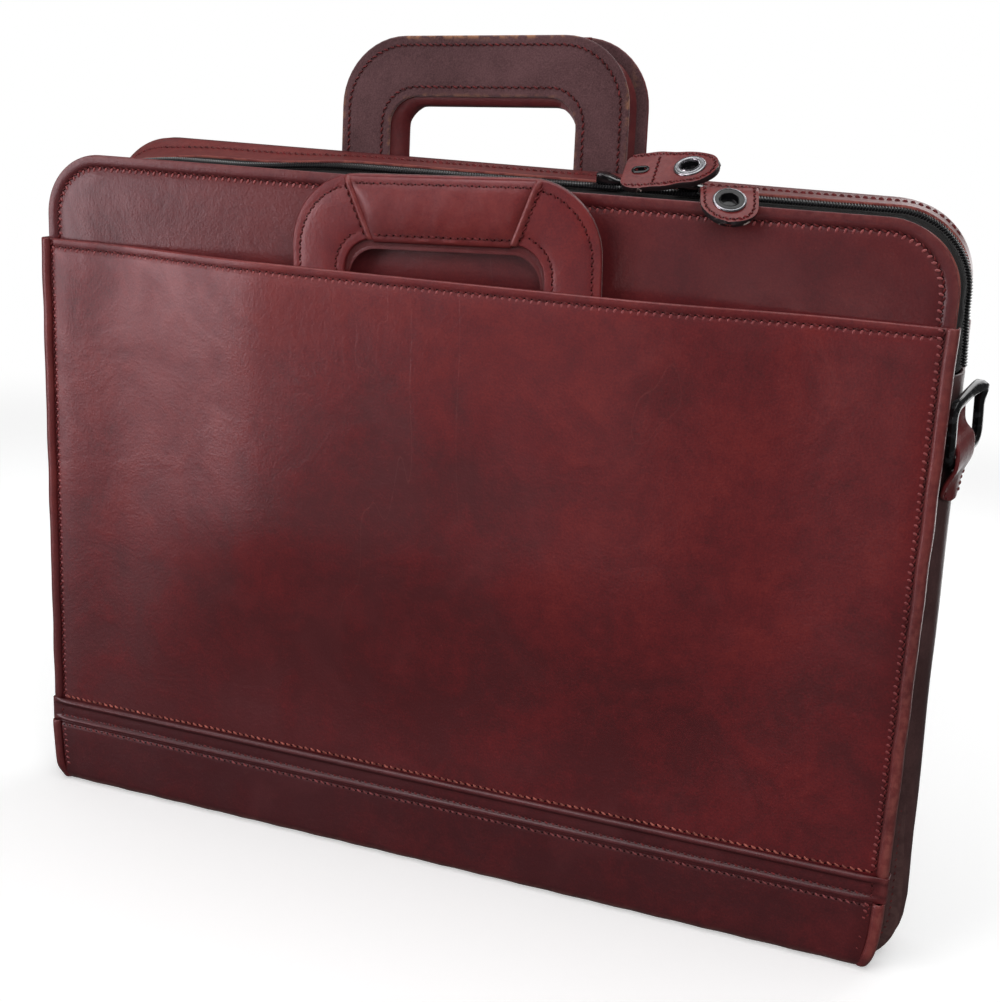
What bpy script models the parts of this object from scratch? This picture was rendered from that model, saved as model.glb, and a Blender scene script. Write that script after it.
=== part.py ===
"""Leather document case: two leaning leather leaves, each with an outer pocket and a drop
handle, joined by a gusset ring that carries a closed zipper with two sliders.

The case stands on its base, +Z up and +X right. The front faces -Y, and the origin is
on the ground under the middle of the whole outline.
Each leaf is built flat and upright around its own foot line and then leaned outwards:
x runs along the leaf, s runs up it, and depth is measured outwards from its middle.
"""
import math

import bmesh
import bpy
from mathutils import Matrix, Vector

# Driving sizes, in metres
CASE_WIDTH = 0.400
FRONT_HEIGHT = 0.3022
BACK_HEIGHT = 0.3098
BACK_END_RISE = 0.0018
FRONT_RADIUS = 0.0275
BACK_RADIUS = 0.0320
FOOT_RADIUS = 0.012
BASE_HALF_DEPTH = 0.011
STAND_Y = -0.0097
FRONT_LEAN = math.radians(1.5)
BACK_LEAN = math.radians(4.5)
GAP = 0.0003

# Leather walls
PANEL_WALL = 0.0020
POCKET_WALL = 0.0015
BINDING_WALL = 0.0011
GUSSET_WALL = 0.0018
STRIP_WALL = 0.0016
TAPE_WALL = 0.0010
HANDLE_WALL = 0.0016
PULL_WALL = 0.0024

# Leaf: panel, pocket, band and base
PANEL_CROWN = 0.0010
PANEL_FOOT = 0.0042
PANEL_HALF = 0.1980
POCKET_MOUTH = 0.2645
POCKET_FOOT = 0.0360
POCKET_DEPTH = 0.0036
BAND_TOP = 0.0425
BAND_FOOT = 0.0318
BAND_DEPTH = 0.0054
BASE_TOP = 0.0315
BASE_DEPTH = 0.0060
BASE_ROLL = 0.0050
BASE_TUCK = 0.0035
BINDING_WIDTH = 0.0047

# Bulge of the pocket over the handle inside it
BULGE = 0.0105
BULGE_HALF = 0.0765
BULGE_FADE = 0.0880
BULGE_LOW = 0.0600
BULGE_FULL = 0.1550

# Drop handle
HANDLE_HALF = 0.0670
HANDLE_TALL = 0.1400
HANDLE_BAR = 0.0260
HANDLE_LEG = 0.0235
HANDLE_CORNER = 0.0300
WINDOW_CORNER = 0.0130
HANDLE_TILT = math.radians(2.5)
LINING_DEPTH = 0.0043
FACE_DEPTH = 0.0122
GRIP_HALF = 0.0410
GRIP_SLANT = 0.0130
GRIP_TALL = 0.0315
GRIP_THICK = 0.0084
FRONT_HANDLE_X = -0.0035
FRONT_HANDLE_TOP = 0.3055
BACK_HANDLE_X = 0.0175
BACK_HANDLE_TOP = 0.3640

# Gusset ring: foot, corners, and where the zipper ends on the sides
RING_INSET = 0.0025
RING_DROP = 0.0018
RING_FOOT = 0.0032
RING_CORNER = 0.0160
RING_STANDOFF = 0.0020
ZIP_END = 2.885
SIDE_BULGE = (
    # height, bulge of the gusset at mid depth
    (0.000, 0.0000),
    (0.012, 0.0042),
    (0.030, 0.0072),
    (0.060, 0.0074),
    (0.130, 0.0062),
    (0.200, 0.0050),
    (0.245, 0.0036),
    (0.275, 0.0018),
    (0.310, 0.0006),
)
FOLD_PLACE = 0.20
FOLD_WIDTH = 0.14
FOLD_SHARE = 0.90

# Zipper: shares of the way from the front leaf to the back leaf
STRIP_EDGE = 0.385
TAPE_EDGE = 0.350
CHAIN_EDGE = 0.445
TAPE_SINK = 0.0017
TAPE_DIP = 0.0010
CHAIN_WALL = 0.0022
SLIDER_LENGTH = 0.0110
SLIDER_WIDTH = 0.0088
SLIDER_BODY = 0.0026
SLIDER_TALL = 0.0048
SLIDER_METAL = 0.0010
SLIDER_STATIONS = (0.0570, 0.0905)

# Pull tabs
PULL_LENGTH = 0.0385
PULL_HALF = 0.0109
SNAP_PLACE = 0.0270
SNAP_OUTER = 0.0063
SNAP_INNER = 0.0026
SNAP_TUBE = 0.0034
SNAP_FLANGE = 0.0009
SLOT_PLACE = 0.0070
PULLS = (
    # name, place of the head (x, y, z), heading, bank, pitch, start of the bend, bend
    ("pull_left", (0.0632, -0.0109, 0.3100), 0.0, 34.0, 7.0, PULL_LENGTH, 0.0),
    ("pull_right", (0.1045, -0.0093, 0.3055), -73.7, 0.0, 4.9, 0.0199, 43.6),
)

# Rings at the ends of the case
RING_DEPTH_HALF = 0.0136
RING_TALL = 0.0246
RING_WIRE = 0.0020
RING_BEND = 0.0045
RING_FOOT_Z = 0.2150
RING_OUT = 0.2054
RING_MID_Y = -0.0055
RING_SPLAY = math.radians(14.5)
RING_TILT = math.radians(10.5)
RING_LEAN = math.radians(2.0)
STRAP_MIDDLE = -0.0016
STRAP_HALF = 0.0073
STRAP_TOP = 0.0205
STRAP_ROUND = 0.0110
STRAP_FALL = (
    # height from the bar, share of the bar's standing out that the strap keeps
    (-0.0190, 0.05),
    (-0.0187, 0.08),
    (-0.0172, 0.12),
    (-0.0145, 0.20),
    (-0.0110, 0.32),
    (-0.0060, 0.62),
)
STRAP_GAP = 0.0005


class Leaf:
    """One side of the case, standing on its foot line and leaning outwards."""

    def __init__(self, name, height, radius, lean, facing, handle_x, handle_top, end_rise):
        self.name = name
        self.height = height
        self.radius = radius
        self.lean = lean
        self.facing = facing
        self.handle_x = handle_x
        self.handle_top = handle_top
        self.end_rise = end_rise

    def matrix(self):
        """Place of the leaf: its foot line, turned to face outwards and leaned."""
        turn = 0.0 if self.facing < 0 else math.pi
        place = Matrix.Translation((0.0, STAND_Y + self.facing * BASE_HALF_DEPTH, 0.0))
        return place @ Matrix.Rotation(turn, 4, "Z") @ Matrix.Rotation(self.lean, 4, "X")

    def raised(self, x, s):
        """Height on the leaf, with the small rise towards one top corner."""
        return s + self.end_rise * (x / (CASE_WIDTH / 2)) * (s / self.height)

    def point(self, x, s, depth):
        """World point of a place on the leaf."""
        return self.matrix() @ Vector((x, -depth, self.raised(x, s)))


FRONT = Leaf("front", FRONT_HEIGHT, FRONT_RADIUS, FRONT_LEAN, -1,
             FRONT_HANDLE_X, FRONT_HANDLE_TOP, 0.0)
BACK = Leaf("back", BACK_HEIGHT, BACK_RADIUS, BACK_LEAN, 1,
            BACK_HANDLE_X, BACK_HANDLE_TOP, BACK_END_RISE)


# Scene, materials and helpers

def clear_scene():
    """Remove every object and the collections left from an earlier run."""
    for item in list(bpy.data.objects):
        bpy.data.objects.remove(item, do_unlink=True)
    for group in list(bpy.data.collections):
        bpy.data.collections.remove(group)


def make_collection(name):
    group = bpy.data.collections.new(name)
    bpy.context.scene.collection.children.link(group)
    return group


def make_material(name, colour, roughness, metallic=0.0):
    """Plain finish with the colour, roughness and metal of the real piece."""
    material = bpy.data.materials.new(name)
    material.use_nodes = True
    shader = material.node_tree.nodes["Principled BSDF"]
    shader.inputs["Base Color"].default_value = (*colour, 1.0)
    shader.inputs["Roughness"].default_value = roughness
    shader.inputs["Metallic"].default_value = metallic
    return material


def lerp(a, b, t):
    return a + (b - a) * t


def smooth(low, high, value):
    """0 below low, 1 above high, and an even slope between them."""
    t = min(1.0, max(0.0, (value - low) / (high - low)))
    return t * t * (3.0 - 2.0 * t)


def spread(low, high, count):
    """Even stations from low to high, both included."""
    return [lerp(low, high, i / count) for i in range(count + 1)]


def read_table(table, key):
    """Value of a two-column table at key, eased between its rows."""
    for (k0, v0), (k1, v1) in zip(table, table[1:]):
        if key <= k1:
            return lerp(v0, v1, smooth(k0, k1, key))
    return table[-1][1]


def add_object(name, data, material, parent=None, matrix=None):
    """Link a mesh or curve as a named object, under a parent empty or at a world matrix."""
    item = bpy.data.objects.new(name, data)
    PARTS.objects.link(item)
    data.materials.append(material)
    if parent is not None:
        item.parent = parent
    if matrix is not None:
        item.matrix_world = matrix
    return item


def add_empty(name, matrix, parent=None):
    item = bpy.data.objects.new(name, None)
    PARTS.objects.link(item)
    item.empty_display_size = 0.02
    item.parent = parent
    item.matrix_local = matrix
    return item


def add_sheet(name, along, across, place, wall, material, parent=None):
    """A leather sheet: a grid laid by place(u, v) on the middle of the wall, made solid."""
    cells_along = len(along) - 1
    cells_across = len(across) - 1
    mesh = bpy.data.meshes.new(name)
    shape = bmesh.new()
    bmesh.ops.create_grid(shape, x_segments=cells_along, y_segments=cells_across, size=1.0)
    for vertex in shape.verts:
        column = round((vertex.co.x + 1.0) / 2.0 * cells_along)
        row = round((vertex.co.y + 1.0) / 2.0 * cells_across)
        vertex.co = place(along[column], across[row])
    shape.to_mesh(mesh)
    shape.free()
    mesh.shade_smooth()
    sheet = add_object(name, mesh, material, parent)
    solid = sheet.modifiers.new("wall", "SOLIDIFY")
    solid.thickness = wall
    solid.offset = 0.0
    solid.use_even_offset = True
    return sheet


def add_outline(name, outlines, thickness, material, parent=None):
    """A flat piece in the XZ plane, facing Y: closed outlines filled and given a thickness."""
    curve = bpy.data.curves.new(name, "CURVE")
    curve.dimensions = "2D"
    curve.fill_mode = "BOTH"
    curve.extrude = thickness / 2
    for points in outlines:
        spline = curve.splines.new("POLY")
        spline.points.add(len(points) - 1)
        for target, (x, z) in zip(spline.points, points):
            target.co = (x, z, 0.0, 1.0)
        spline.use_cyclic_u = True
    item = add_object(name, curve, material, parent)
    item.rotation_euler = (math.pi / 2, 0.0, 0.0)
    return item


def arc(centre, radius, start, stop, steps):
    """Points on an arc, by angles in degrees, both ends included."""
    turns = [math.radians(a) for a in spread(start, stop, steps)]
    return [(centre[0] + radius * math.cos(a), centre[1] + radius * math.sin(a)) for a in turns]


def rounded_box(left, right, low, high, radius, steps):
    """Closed outline of a box with round corners, counter-clockwise."""
    points = arc((right - radius, low + radius), radius, -90, 0, steps)
    points += arc((right - radius, high - radius), radius, 0, 90, steps)
    points += arc((left + radius, high - radius), radius, 90, 180, steps)
    points += arc((left + radius, low + radius), radius, 180, 270, steps)
    return points


def add_cutter(name, mesh, matrix):
    cutter = bpy.data.objects.new(name, mesh)
    CUTTERS.objects.link(cutter)
    cutter.matrix_world = matrix
    cutter.hide_render = True
    cutter.display_type = "WIRE"
    return cutter


def cut(target, cutter):
    """Take the cutter's shape out of the target."""
    boolean = target.modifiers.new(cutter.name, "BOOLEAN")
    boolean.operation = "DIFFERENCE"
    boolean.solver = "EXACT"
    boolean.object = cutter


# Leaf pieces: panel, pocket, band, base and bindings

def panel_rows(leaf):
    """Heights and half widths up the panel: round feet, straight sides, round top corners."""
    rows = []
    for a in spread(0.0, 90.0, 3):
        turn = math.radians(a)
        rows.append((PANEL_FOOT + FOOT_RADIUS * (1 - math.cos(turn)),
                     PANEL_HALF - FOOT_RADIUS * (1 - math.sin(turn))))
    low = PANEL_FOOT + FOOT_RADIUS
    high = leaf.height - leaf.radius
    rows += [(s, PANEL_HALF) for s in spread(low, high, 6)[1:-1]]
    for a in spread(0.0, 90.0, 6):
        turn = math.radians(a)
        rows.append((high + leaf.radius * math.sin(turn),
                     PANEL_HALF - leaf.radius * (1 - math.cos(turn))))
    return rows


def build_panel(leaf, parent):
    def place(share, row):
        s, half = row
        x = share * half
        rise = math.sin(math.pi * s / leaf.height)
        crown = PANEL_CROWN * (1 - share ** 4) * math.sqrt(max(0.0, rise))
        return Vector((x, -crown, leaf.raised(x, s)))

    columns = [-1.0, -0.94, *spread(-0.8, 0.8, 6), 0.94, 1.0]
    add_sheet(leaf.name + "_panel", columns, panel_rows(leaf), place, PANEL_WALL, LEATHER, parent)


def pocket_bulge(leaf, x, s):
    """How far the pocket stands out over the handle that hangs in it."""
    away = abs(x - leaf.handle_x)
    side = 1.0 - smooth(BULGE_HALF, BULGE_HALF + BULGE_FADE, away)
    return BULGE * side * smooth(BULGE_LOW, BULGE_FULL, s)


def build_pocket(leaf, parent):
    def place(x, s):
        return Vector((x, -(POCKET_DEPTH + pocket_bulge(leaf, x, s)), s))

    middle = leaf.handle_x
    rise = [BULGE_HALF + BULGE_FADE * t for t in (0.0, 0.25, 0.5, 0.75, 1.0)]
    columns = [-PANEL_HALF, *[middle - r for r in reversed(rise)], middle]
    columns += [*[middle + r for r in rise], PANEL_HALF]
    heights = [POCKET_FOOT, 0.045, *spread(BULGE_LOW, BULGE_FULL, 4), 0.205, POCKET_MOUTH]
    add_sheet(leaf.name + "_pocket", columns, heights, place, POCKET_WALL, LEATHER, parent)


def side_path(depth, wall):
    """Way round the right-hand edge of the leaf, from its front face to behind the panel."""
    outer = CASE_WIDTH / 2 - wall / 2
    bend = 0.0010
    path = [(CASE_WIDTH / 2 - BINDING_WIDTH, depth)]
    path += arc((outer - bend, depth - bend), bend, 90, 0, 3)
    path.append((outer, -PANEL_WALL / 2 + GAP))
    return path


def build_binding(leaf, parent, name, side, low, high, depth):
    def place(corner, s):
        return Vector((side * corner[0], -corner[1], s))

    heights = spread(low, high, 2)
    path = side_path(depth, BINDING_WALL)
    add_sheet(leaf.name + name, path, heights, place, BINDING_WALL, EDGE_LEATHER, parent)


def build_band(leaf, parent):
    """Reinforcing band over the pocket's foot, folded round both side edges."""
    def place(corner, s):
        return Vector((corner[0], -corner[1], s))

    right = side_path(BAND_DEPTH, POCKET_WALL)
    path = [(-x, d) for x, d in reversed(right)] + right
    heights = spread(BAND_FOOT, BAND_TOP, 1)
    add_sheet(leaf.name + "_band", path, heights, place, POCKET_WALL, LEATHER, parent)


def build_base(leaf, parent):
    """Base panel: down the leaf, rolled under, and flat on the ground."""
    centre = BASE_DEPTH - BASE_ROLL

    def ground(depth):
        return (POCKET_WALL / 2 + depth * math.sin(leaf.lean)) / math.cos(leaf.lean)

    foot = ground(centre)
    path = [(BASE_DEPTH, BASE_TOP), (BASE_DEPTH, BASE_TOP / 2)]
    path += arc((centre, foot + BASE_ROLL), BASE_ROLL, 0, -90, 4)
    path += [(d, ground(d)) for d in (0.0, -BASE_TUCK)]

    def place(x, row):
        return Vector((x, -row[0], row[1]))

    half = CASE_WIDTH / 2 - BINDING_WALL - 2 * GAP
    add_sheet(leaf.name + "_base", spread(-half, half, 4), path, place, POCKET_WALL,
              LEATHER, parent)


# Drop handle: lining, face and grip on one sliding empty

def build_handle(leaf, parent):
    """Handle in its own frame: x from its middle, z up from its top edge."""
    tilt = Matrix.Rotation(-HANDLE_TILT * -leaf.facing, 4, "Y")
    place = Matrix.Translation((leaf.handle_x, 0.0, leaf.handle_top))
    slide = add_empty(leaf.name + "_handle_slide", place @ tilt, parent)
    half = HANDLE_HALF
    window = half - HANDLE_LEG
    lining = [rounded_box(-half, half, -HANDLE_TALL, 0.0, HANDLE_CORNER, 5),
              rounded_box(-window, window, HANDLE_LEG - HANDLE_TALL, -HANDLE_BAR,
                          WINDOW_CORNER, 4)]
    sheet = add_outline(leaf.name + "_handle_lining", lining, HANDLE_WALL, SUEDE, slide)
    sheet.location.y = -LINING_DEPTH
    sheet = add_outline(leaf.name + "_handle_face", [face_outline()], HANDLE_WALL,
                        LEATHER, slide)
    sheet.location.y = -FACE_DEPTH
    build_grip(leaf, slide)
    return slide


def face_outline():
    """U-shaped face: round the outside, then back round the window, open at the grip."""
    half = HANDLE_HALF
    window = half - HANDLE_LEG
    top = GRIP_HALF + GAP
    low = GRIP_HALF + GAP - GRIP_SLANT * HANDLE_BAR / GRIP_TALL
    corner = half - HANDLE_CORNER
    inner = window - WINDOW_CORNER
    cut_turn = math.degrees(math.acos((top - corner) / HANDLE_CORNER))
    outline = arc((-corner, -HANDLE_CORNER), HANDLE_CORNER, 180 - cut_turn, 180, 5)
    outline += arc((-corner, HANDLE_CORNER - HANDLE_TALL), HANDLE_CORNER, 180, 270, 5)
    outline += arc((corner, HANDLE_CORNER - HANDLE_TALL), HANDLE_CORNER, 270, 360, 5)
    outline += arc((corner, -HANDLE_CORNER), HANDLE_CORNER, 0, cut_turn, 5)
    outline.append((low, -HANDLE_BAR))
    outline += arc((inner, -HANDLE_BAR - WINDOW_CORNER), WINDOW_CORNER, 90, 0, 4)
    window_foot = HANDLE_LEG - HANDLE_TALL + WINDOW_CORNER
    outline += arc((inner, window_foot), WINDOW_CORNER, 0, -90, 4)
    outline += arc((-inner, window_foot), WINDOW_CORNER, -90, -180, 4)
    outline += arc((-inner, -HANDLE_BAR - WINDOW_CORNER), WINDOW_CORNER, 180, 90, 4)
    outline.append((-low, -HANDLE_BAR))
    return outline


def build_grip(leaf, slide):
    """Wrapped grip: a round-edged bar whose ends are cut on a slant."""
    depth_low = LINING_DEPTH + HANDLE_WALL / 2 + GAP
    depth_high = depth_low + GRIP_THICK
    section = rounded_box(-depth_high, -depth_low, -GRIP_TALL, -0.0002,
                          GRIP_THICK / 2 - 0.0002, 4)
    curve = bpy.data.curves.new("grip_section", "CURVE")
    curve.dimensions = "2D"
    curve.fill_mode = "BOTH"
    curve.extrude = GRIP_HALF
    spline = curve.splines.new("POLY")
    spline.points.add(len(section) - 1)
    for target, (y, z) in zip(spline.points, section):
        target.co = (y, z, 0.0, 1.0)
    spline.use_cyclic_u = True
    guide = bpy.data.objects.new("grip_section", curve)
    CUTTERS.objects.link(guide)
    view = bpy.context.evaluated_depsgraph_get()
    mesh = bpy.data.meshes.new_from_object(guide.evaluated_get(view))
    bpy.data.objects.remove(guide)
    shape = bmesh.new()
    shape.from_mesh(mesh)
    bmesh.ops.remove_doubles(shape, verts=shape.verts, dist=0.00001)
    for vertex in shape.verts:
        y, z, x = vertex.co
        slant = GRIP_SLANT * -z / GRIP_TALL
        end = GRIP_HALF - slant
        vertex.co = Vector((end if x > 0 else -end, y, z))
    shape.to_mesh(mesh)
    shape.free()
    mesh.name = leaf.name + "_handle_grip"
    add_object(leaf.name + "_handle_grip", mesh, LEATHER, slide)


# Gusset ring

def ring_outline(leaf, u):
    """Place and outward direction on the ring's edge at one leaf.

    u counts the stretches of the way round: 0 foot from the middle, 1 foot corner,
    2 right side, 3 top corner, 4 top, 5 top corner, 6 left side, 7 foot corner, 8 foot.
    """
    half = CASE_WIDTH / 2 - RING_INSET
    top = leaf.height - RING_DROP
    round_top = leaf.radius - RING_INSET
    stretch = min(8, int(u))
    t = u - stretch
    mirror = 1.0
    if stretch > 4 or (stretch == 4 and t > 0.5):
        stretch, t, mirror = 8 - stretch, 1.0 - t, -1.0
    if stretch == 0:
        x, s, nx, nz = lerp(0.0, half - RING_CORNER, t), RING_FOOT, 0.0, -1.0
    elif stretch == 1:
        turn = math.radians(lerp(-90.0, 0.0, t))
        nx, nz = math.cos(turn), math.sin(turn)
        x = half - RING_CORNER + RING_CORNER * nx
        s = RING_FOOT + RING_CORNER + RING_CORNER * nz
    elif stretch == 2:
        x, nx, nz = half, 1.0, 0.0
        s = lerp(RING_FOOT + RING_CORNER, top - round_top, t)
    elif stretch == 3:
        turn = math.radians(lerp(0.0, 90.0, t))
        nx, nz = math.cos(turn), math.sin(turn)
        x = half - round_top + round_top * nx
        s = top - round_top + round_top * nz
    else:
        x, s, nx, nz = lerp(half - round_top, round_top - half, t), top, 0.0, 1.0
    return mirror * x, s, mirror * nx, nz


def ring_bulge(s, t, fold):
    """How far the ring stands out at a height, less the folded crease near the front."""
    bulge = read_table(SIDE_BULGE, s) * math.sin(math.pi * t) ** 0.7
    return bulge * (1.0 - fold * math.exp(-((t - FOLD_PLACE) / FOLD_WIDTH) ** 2))


def ring_point(u, t, out, fold=0.0):
    """Point on the ring: share t of the way from the front leaf to the back leaf."""
    x, s, nx, nz = ring_outline(FRONT, u)
    front = FRONT.point(x, s, -RING_STANDOFF)
    back_x, back_s = ring_outline(BACK, u)[:2]
    back = BACK.point(-back_x, back_s, -RING_STANDOFF)
    return front.lerp(back, t) + Vector((nx, 0.0, nz)) * (out + ring_bulge(s, t, fold))


def side_face(y, z):
    """Distance of the gusset's outer face from the middle of the case, on an end."""
    front_y = FRONT.point(0.0, z, -RING_STANDOFF).y
    back_y = BACK.point(0.0, z, -RING_STANDOFF).y
    bulge = ring_bulge(z, (y - front_y) / (back_y - front_y), FOLD_SHARE)
    return CASE_WIDTH / 2 - RING_INSET + bulge + GUSSET_WALL / 2


def ring_stations(start, stop):
    """Stations along the ring between start and stop, closer together on the corners."""
    steps = {0: 2, 1: 4, 2: 7, 3: 5, 4: 6, 5: 5, 6: 7, 7: 4, 8: 2}
    stations = [start]
    for stretch, count in steps.items():
        for i in range(count):
            u = stretch + i / count
            if start + 0.02 < u < stop - 0.02:
                stations.append(u)
    stations.append(stop)
    return stations


def build_gusset():
    """Gusset: down one side, along the foot and up the other, with a folded crease."""
    lower_right = ring_stations(0.0, ZIP_END - 0.01)
    lower_left = ring_stations(9.0 - ZIP_END + 0.01, 8.98)
    along = list(reversed(lower_right)) + list(reversed(lower_left))
    across = [0.0, 0.10, FOLD_PLACE, 0.28, 0.36, 0.46, 0.60, 0.75, 0.90, 1.0]

    def place(u, t):
        return ring_point(u, t, 0.0, FOLD_SHARE)

    add_sheet("gusset", along, across, place, GUSSET_WALL, GUSSET_LEATHER)


def build_zipper():
    """Leather strips, tape and closed chain over the top and down both ends."""
    along = ring_stations(ZIP_END, 9.0 - ZIP_END)
    edge = STRIP_EDGE

    def on_ring(out):
        return lambda u, t: ring_point(u, t, out)

    front = [0.0, edge * 0.5, edge]
    back = [1.0 - edge, 1.0 - edge * 0.5, 1.0]
    add_sheet("zip_strip_front", along, front, on_ring(0.0), STRIP_WALL, EDGE_LEATHER)
    add_sheet("zip_strip_back", along, back, on_ring(0.0), STRIP_WALL, EDGE_LEATHER)
    tape = {TAPE_EDGE: 0.0, CHAIN_EDGE - 0.02: TAPE_DIP, 1.02 - CHAIN_EDGE: TAPE_DIP,
            1.0 - TAPE_EDGE: 0.0}

    def on_tape(u, t):
        return ring_point(u, t, -TAPE_SINK - tape[t])

    add_sheet("zipper_tape", along, list(tape), on_tape, TAPE_WALL, TAPE)
    chain_out = -TAPE_SINK - TAPE_DIP + TAPE_WALL / 2 + GAP + CHAIN_WALL / 2
    chain = [CHAIN_EDGE, 1.0 - CHAIN_EDGE]
    add_sheet("zipper_chain", along, chain, on_ring(chain_out), CHAIN_WALL, BLACK)
    return chain_out + CHAIN_WALL / 2


def top_point(x, t, out):
    """Point over the straight top of the ring at x."""
    reach = CASE_WIDTH / 2 - (FRONT.radius + BACK.radius) / 2
    return ring_point(4.0 + (reach - x) / (2 * reach), t, out)


def build_slider(name, x, out):
    """Slider: a body on the chain with a bridge over it, cut from one outline."""
    half = SLIDER_LENGTH / 2
    metal = SLIDER_METAL
    outer = [(-half, 0.0), (half, 0.0), (half, SLIDER_BODY), (half - metal, SLIDER_BODY)]
    outer += arc((half - 2.6 * metal, SLIDER_TALL - 1.6 * metal), 1.6 * metal, 0, 90, 3)
    outer += arc((2.6 * metal - half, SLIDER_TALL - 1.6 * metal), 1.6 * metal, 90, 180, 3)
    outer += [(metal - half, SLIDER_BODY), (-half, SLIDER_BODY)]
    hole = rounded_box(2 * metal - half, half - 2 * metal, SLIDER_BODY,
                       SLIDER_TALL - metal, metal / 2, 2)
    slider = add_outline(name, [outer, hole], SLIDER_WIDTH, BLACK)
    across = top_point(x, 1.0 - CHAIN_EDGE, 0.0) - top_point(x, CHAIN_EDGE, 0.0)
    slider.rotation_euler.x += math.atan2(across.z, across.y)
    slider.location = top_point(x, 0.5, out + GAP)
    return slider


# Pull tabs

def tab_half_width(run):
    """Half width along a tab: a soft square head and a full round end."""
    head = 0.005
    if run < head:
        return PULL_HALF - head + math.sqrt(head ** 2 - (head - run) ** 2)
    tail = run - (PULL_LENGTH - PULL_HALF)
    if tail > 0.0:
        return math.sqrt(max(1e-9, PULL_HALF ** 2 - tail ** 2))
    return PULL_HALF


def build_pull(name, frame, bend_at, bend):
    """Leather tab with a snap, laid in a frame: x along it, z out of its face."""
    def centre_line(run):
        bent = max(0.0, run - bend_at)
        flat = run - bent
        return flat + bent * math.cos(bend), -bent * math.sin(bend)

    def place(run, share):
        x, z = centre_line(run)
        return frame @ Vector((x, share * tab_half_width(run), z))

    tail = PULL_LENGTH - PULL_HALF
    along = [0.0, 0.0015, 0.005, SLOT_PLACE + 0.004, 0.0165, 0.022, tail]
    along += [tail + PULL_HALF * math.sin(math.radians(a)) for a in (25, 45, 62, 76)]
    along.append(PULL_LENGTH - 0.0001)
    tab = add_sheet(name + "_tab", along, [-1.0, -0.6, 0.0, 0.6, 1.0], place, PULL_WALL,
                    LEATHER)
    x, z = centre_line(SNAP_PLACE)
    tip = bend if SNAP_PLACE > bend_at else 0.0
    seat = frame @ Matrix.Translation((x, 0.0, z)) @ Matrix.Rotation(tip, 4, "Y")
    hole = bpy.data.meshes.new(name + "_snap_hole")
    shape = bmesh.new()
    bmesh.ops.create_cone(shape, cap_ends=True, segments=16, radius1=SNAP_TUBE + GAP,
                          radius2=SNAP_TUBE + GAP, depth=0.02)
    shape.to_mesh(hole)
    shape.free()
    cut(tab, add_cutter(name + "_snap_hole", hole, seat))
    build_snap(name + "_snap", seat)
    slot = bpy.data.meshes.new(name + "_slot_hole")
    shape = bmesh.new()
    bmesh.ops.create_cube(shape, size=1.0)
    bmesh.ops.scale(shape, vec=(0.0050, 0.0024, 0.02), verts=shape.verts)
    shape.to_mesh(slot)
    shape.free()
    middle = frame @ Matrix.Translation((SLOT_PLACE, 0.0, 0.0))
    cut(tab, add_cutter(name + "_slot_hole", slot, middle))
    return tab


def build_snap(name, seat):
    """Snap: a tube through the tab under a round flange, turned from one profile."""
    face = PULL_WALL / 2 + GAP
    top = face + SNAP_FLANGE
    profile = [(SNAP_INNER, -PULL_WALL / 2), (SNAP_TUBE, -PULL_WALL / 2), (SNAP_TUBE, face),
               (SNAP_OUTER, face), (SNAP_OUTER - 0.0004, top), (SNAP_INNER, top)]
    mesh = bpy.data.meshes.new(name)
    corners = [(r, 0.0, z) for r, z in reversed(profile)]
    count = len(corners)
    edges = [(i, (i + 1) % count) for i in range(count)]
    mesh.from_pydata(corners, edges, [])
    snap = add_object(name, mesh, METAL, matrix=seat)
    screw = snap.modifiers.new("turned", "SCREW")
    screw.steps = 16
    screw.render_steps = 16
    screw.use_merge_vertices = True
    screw.merge_threshold = 0.00005
    return snap


def pull_frame(place, heading, bank, pitch):
    """Frame at the head of a tab, turned by heading, then pitch and bank."""
    turn = Matrix.Rotation(math.radians(heading), 4, "Z")
    turn = turn @ Matrix.Rotation(math.radians(-pitch), 4, "Y")
    turn = turn @ Matrix.Rotation(math.radians(bank), 4, "X")
    return Matrix.Translation(place) @ turn


# Rings at the ends

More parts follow.
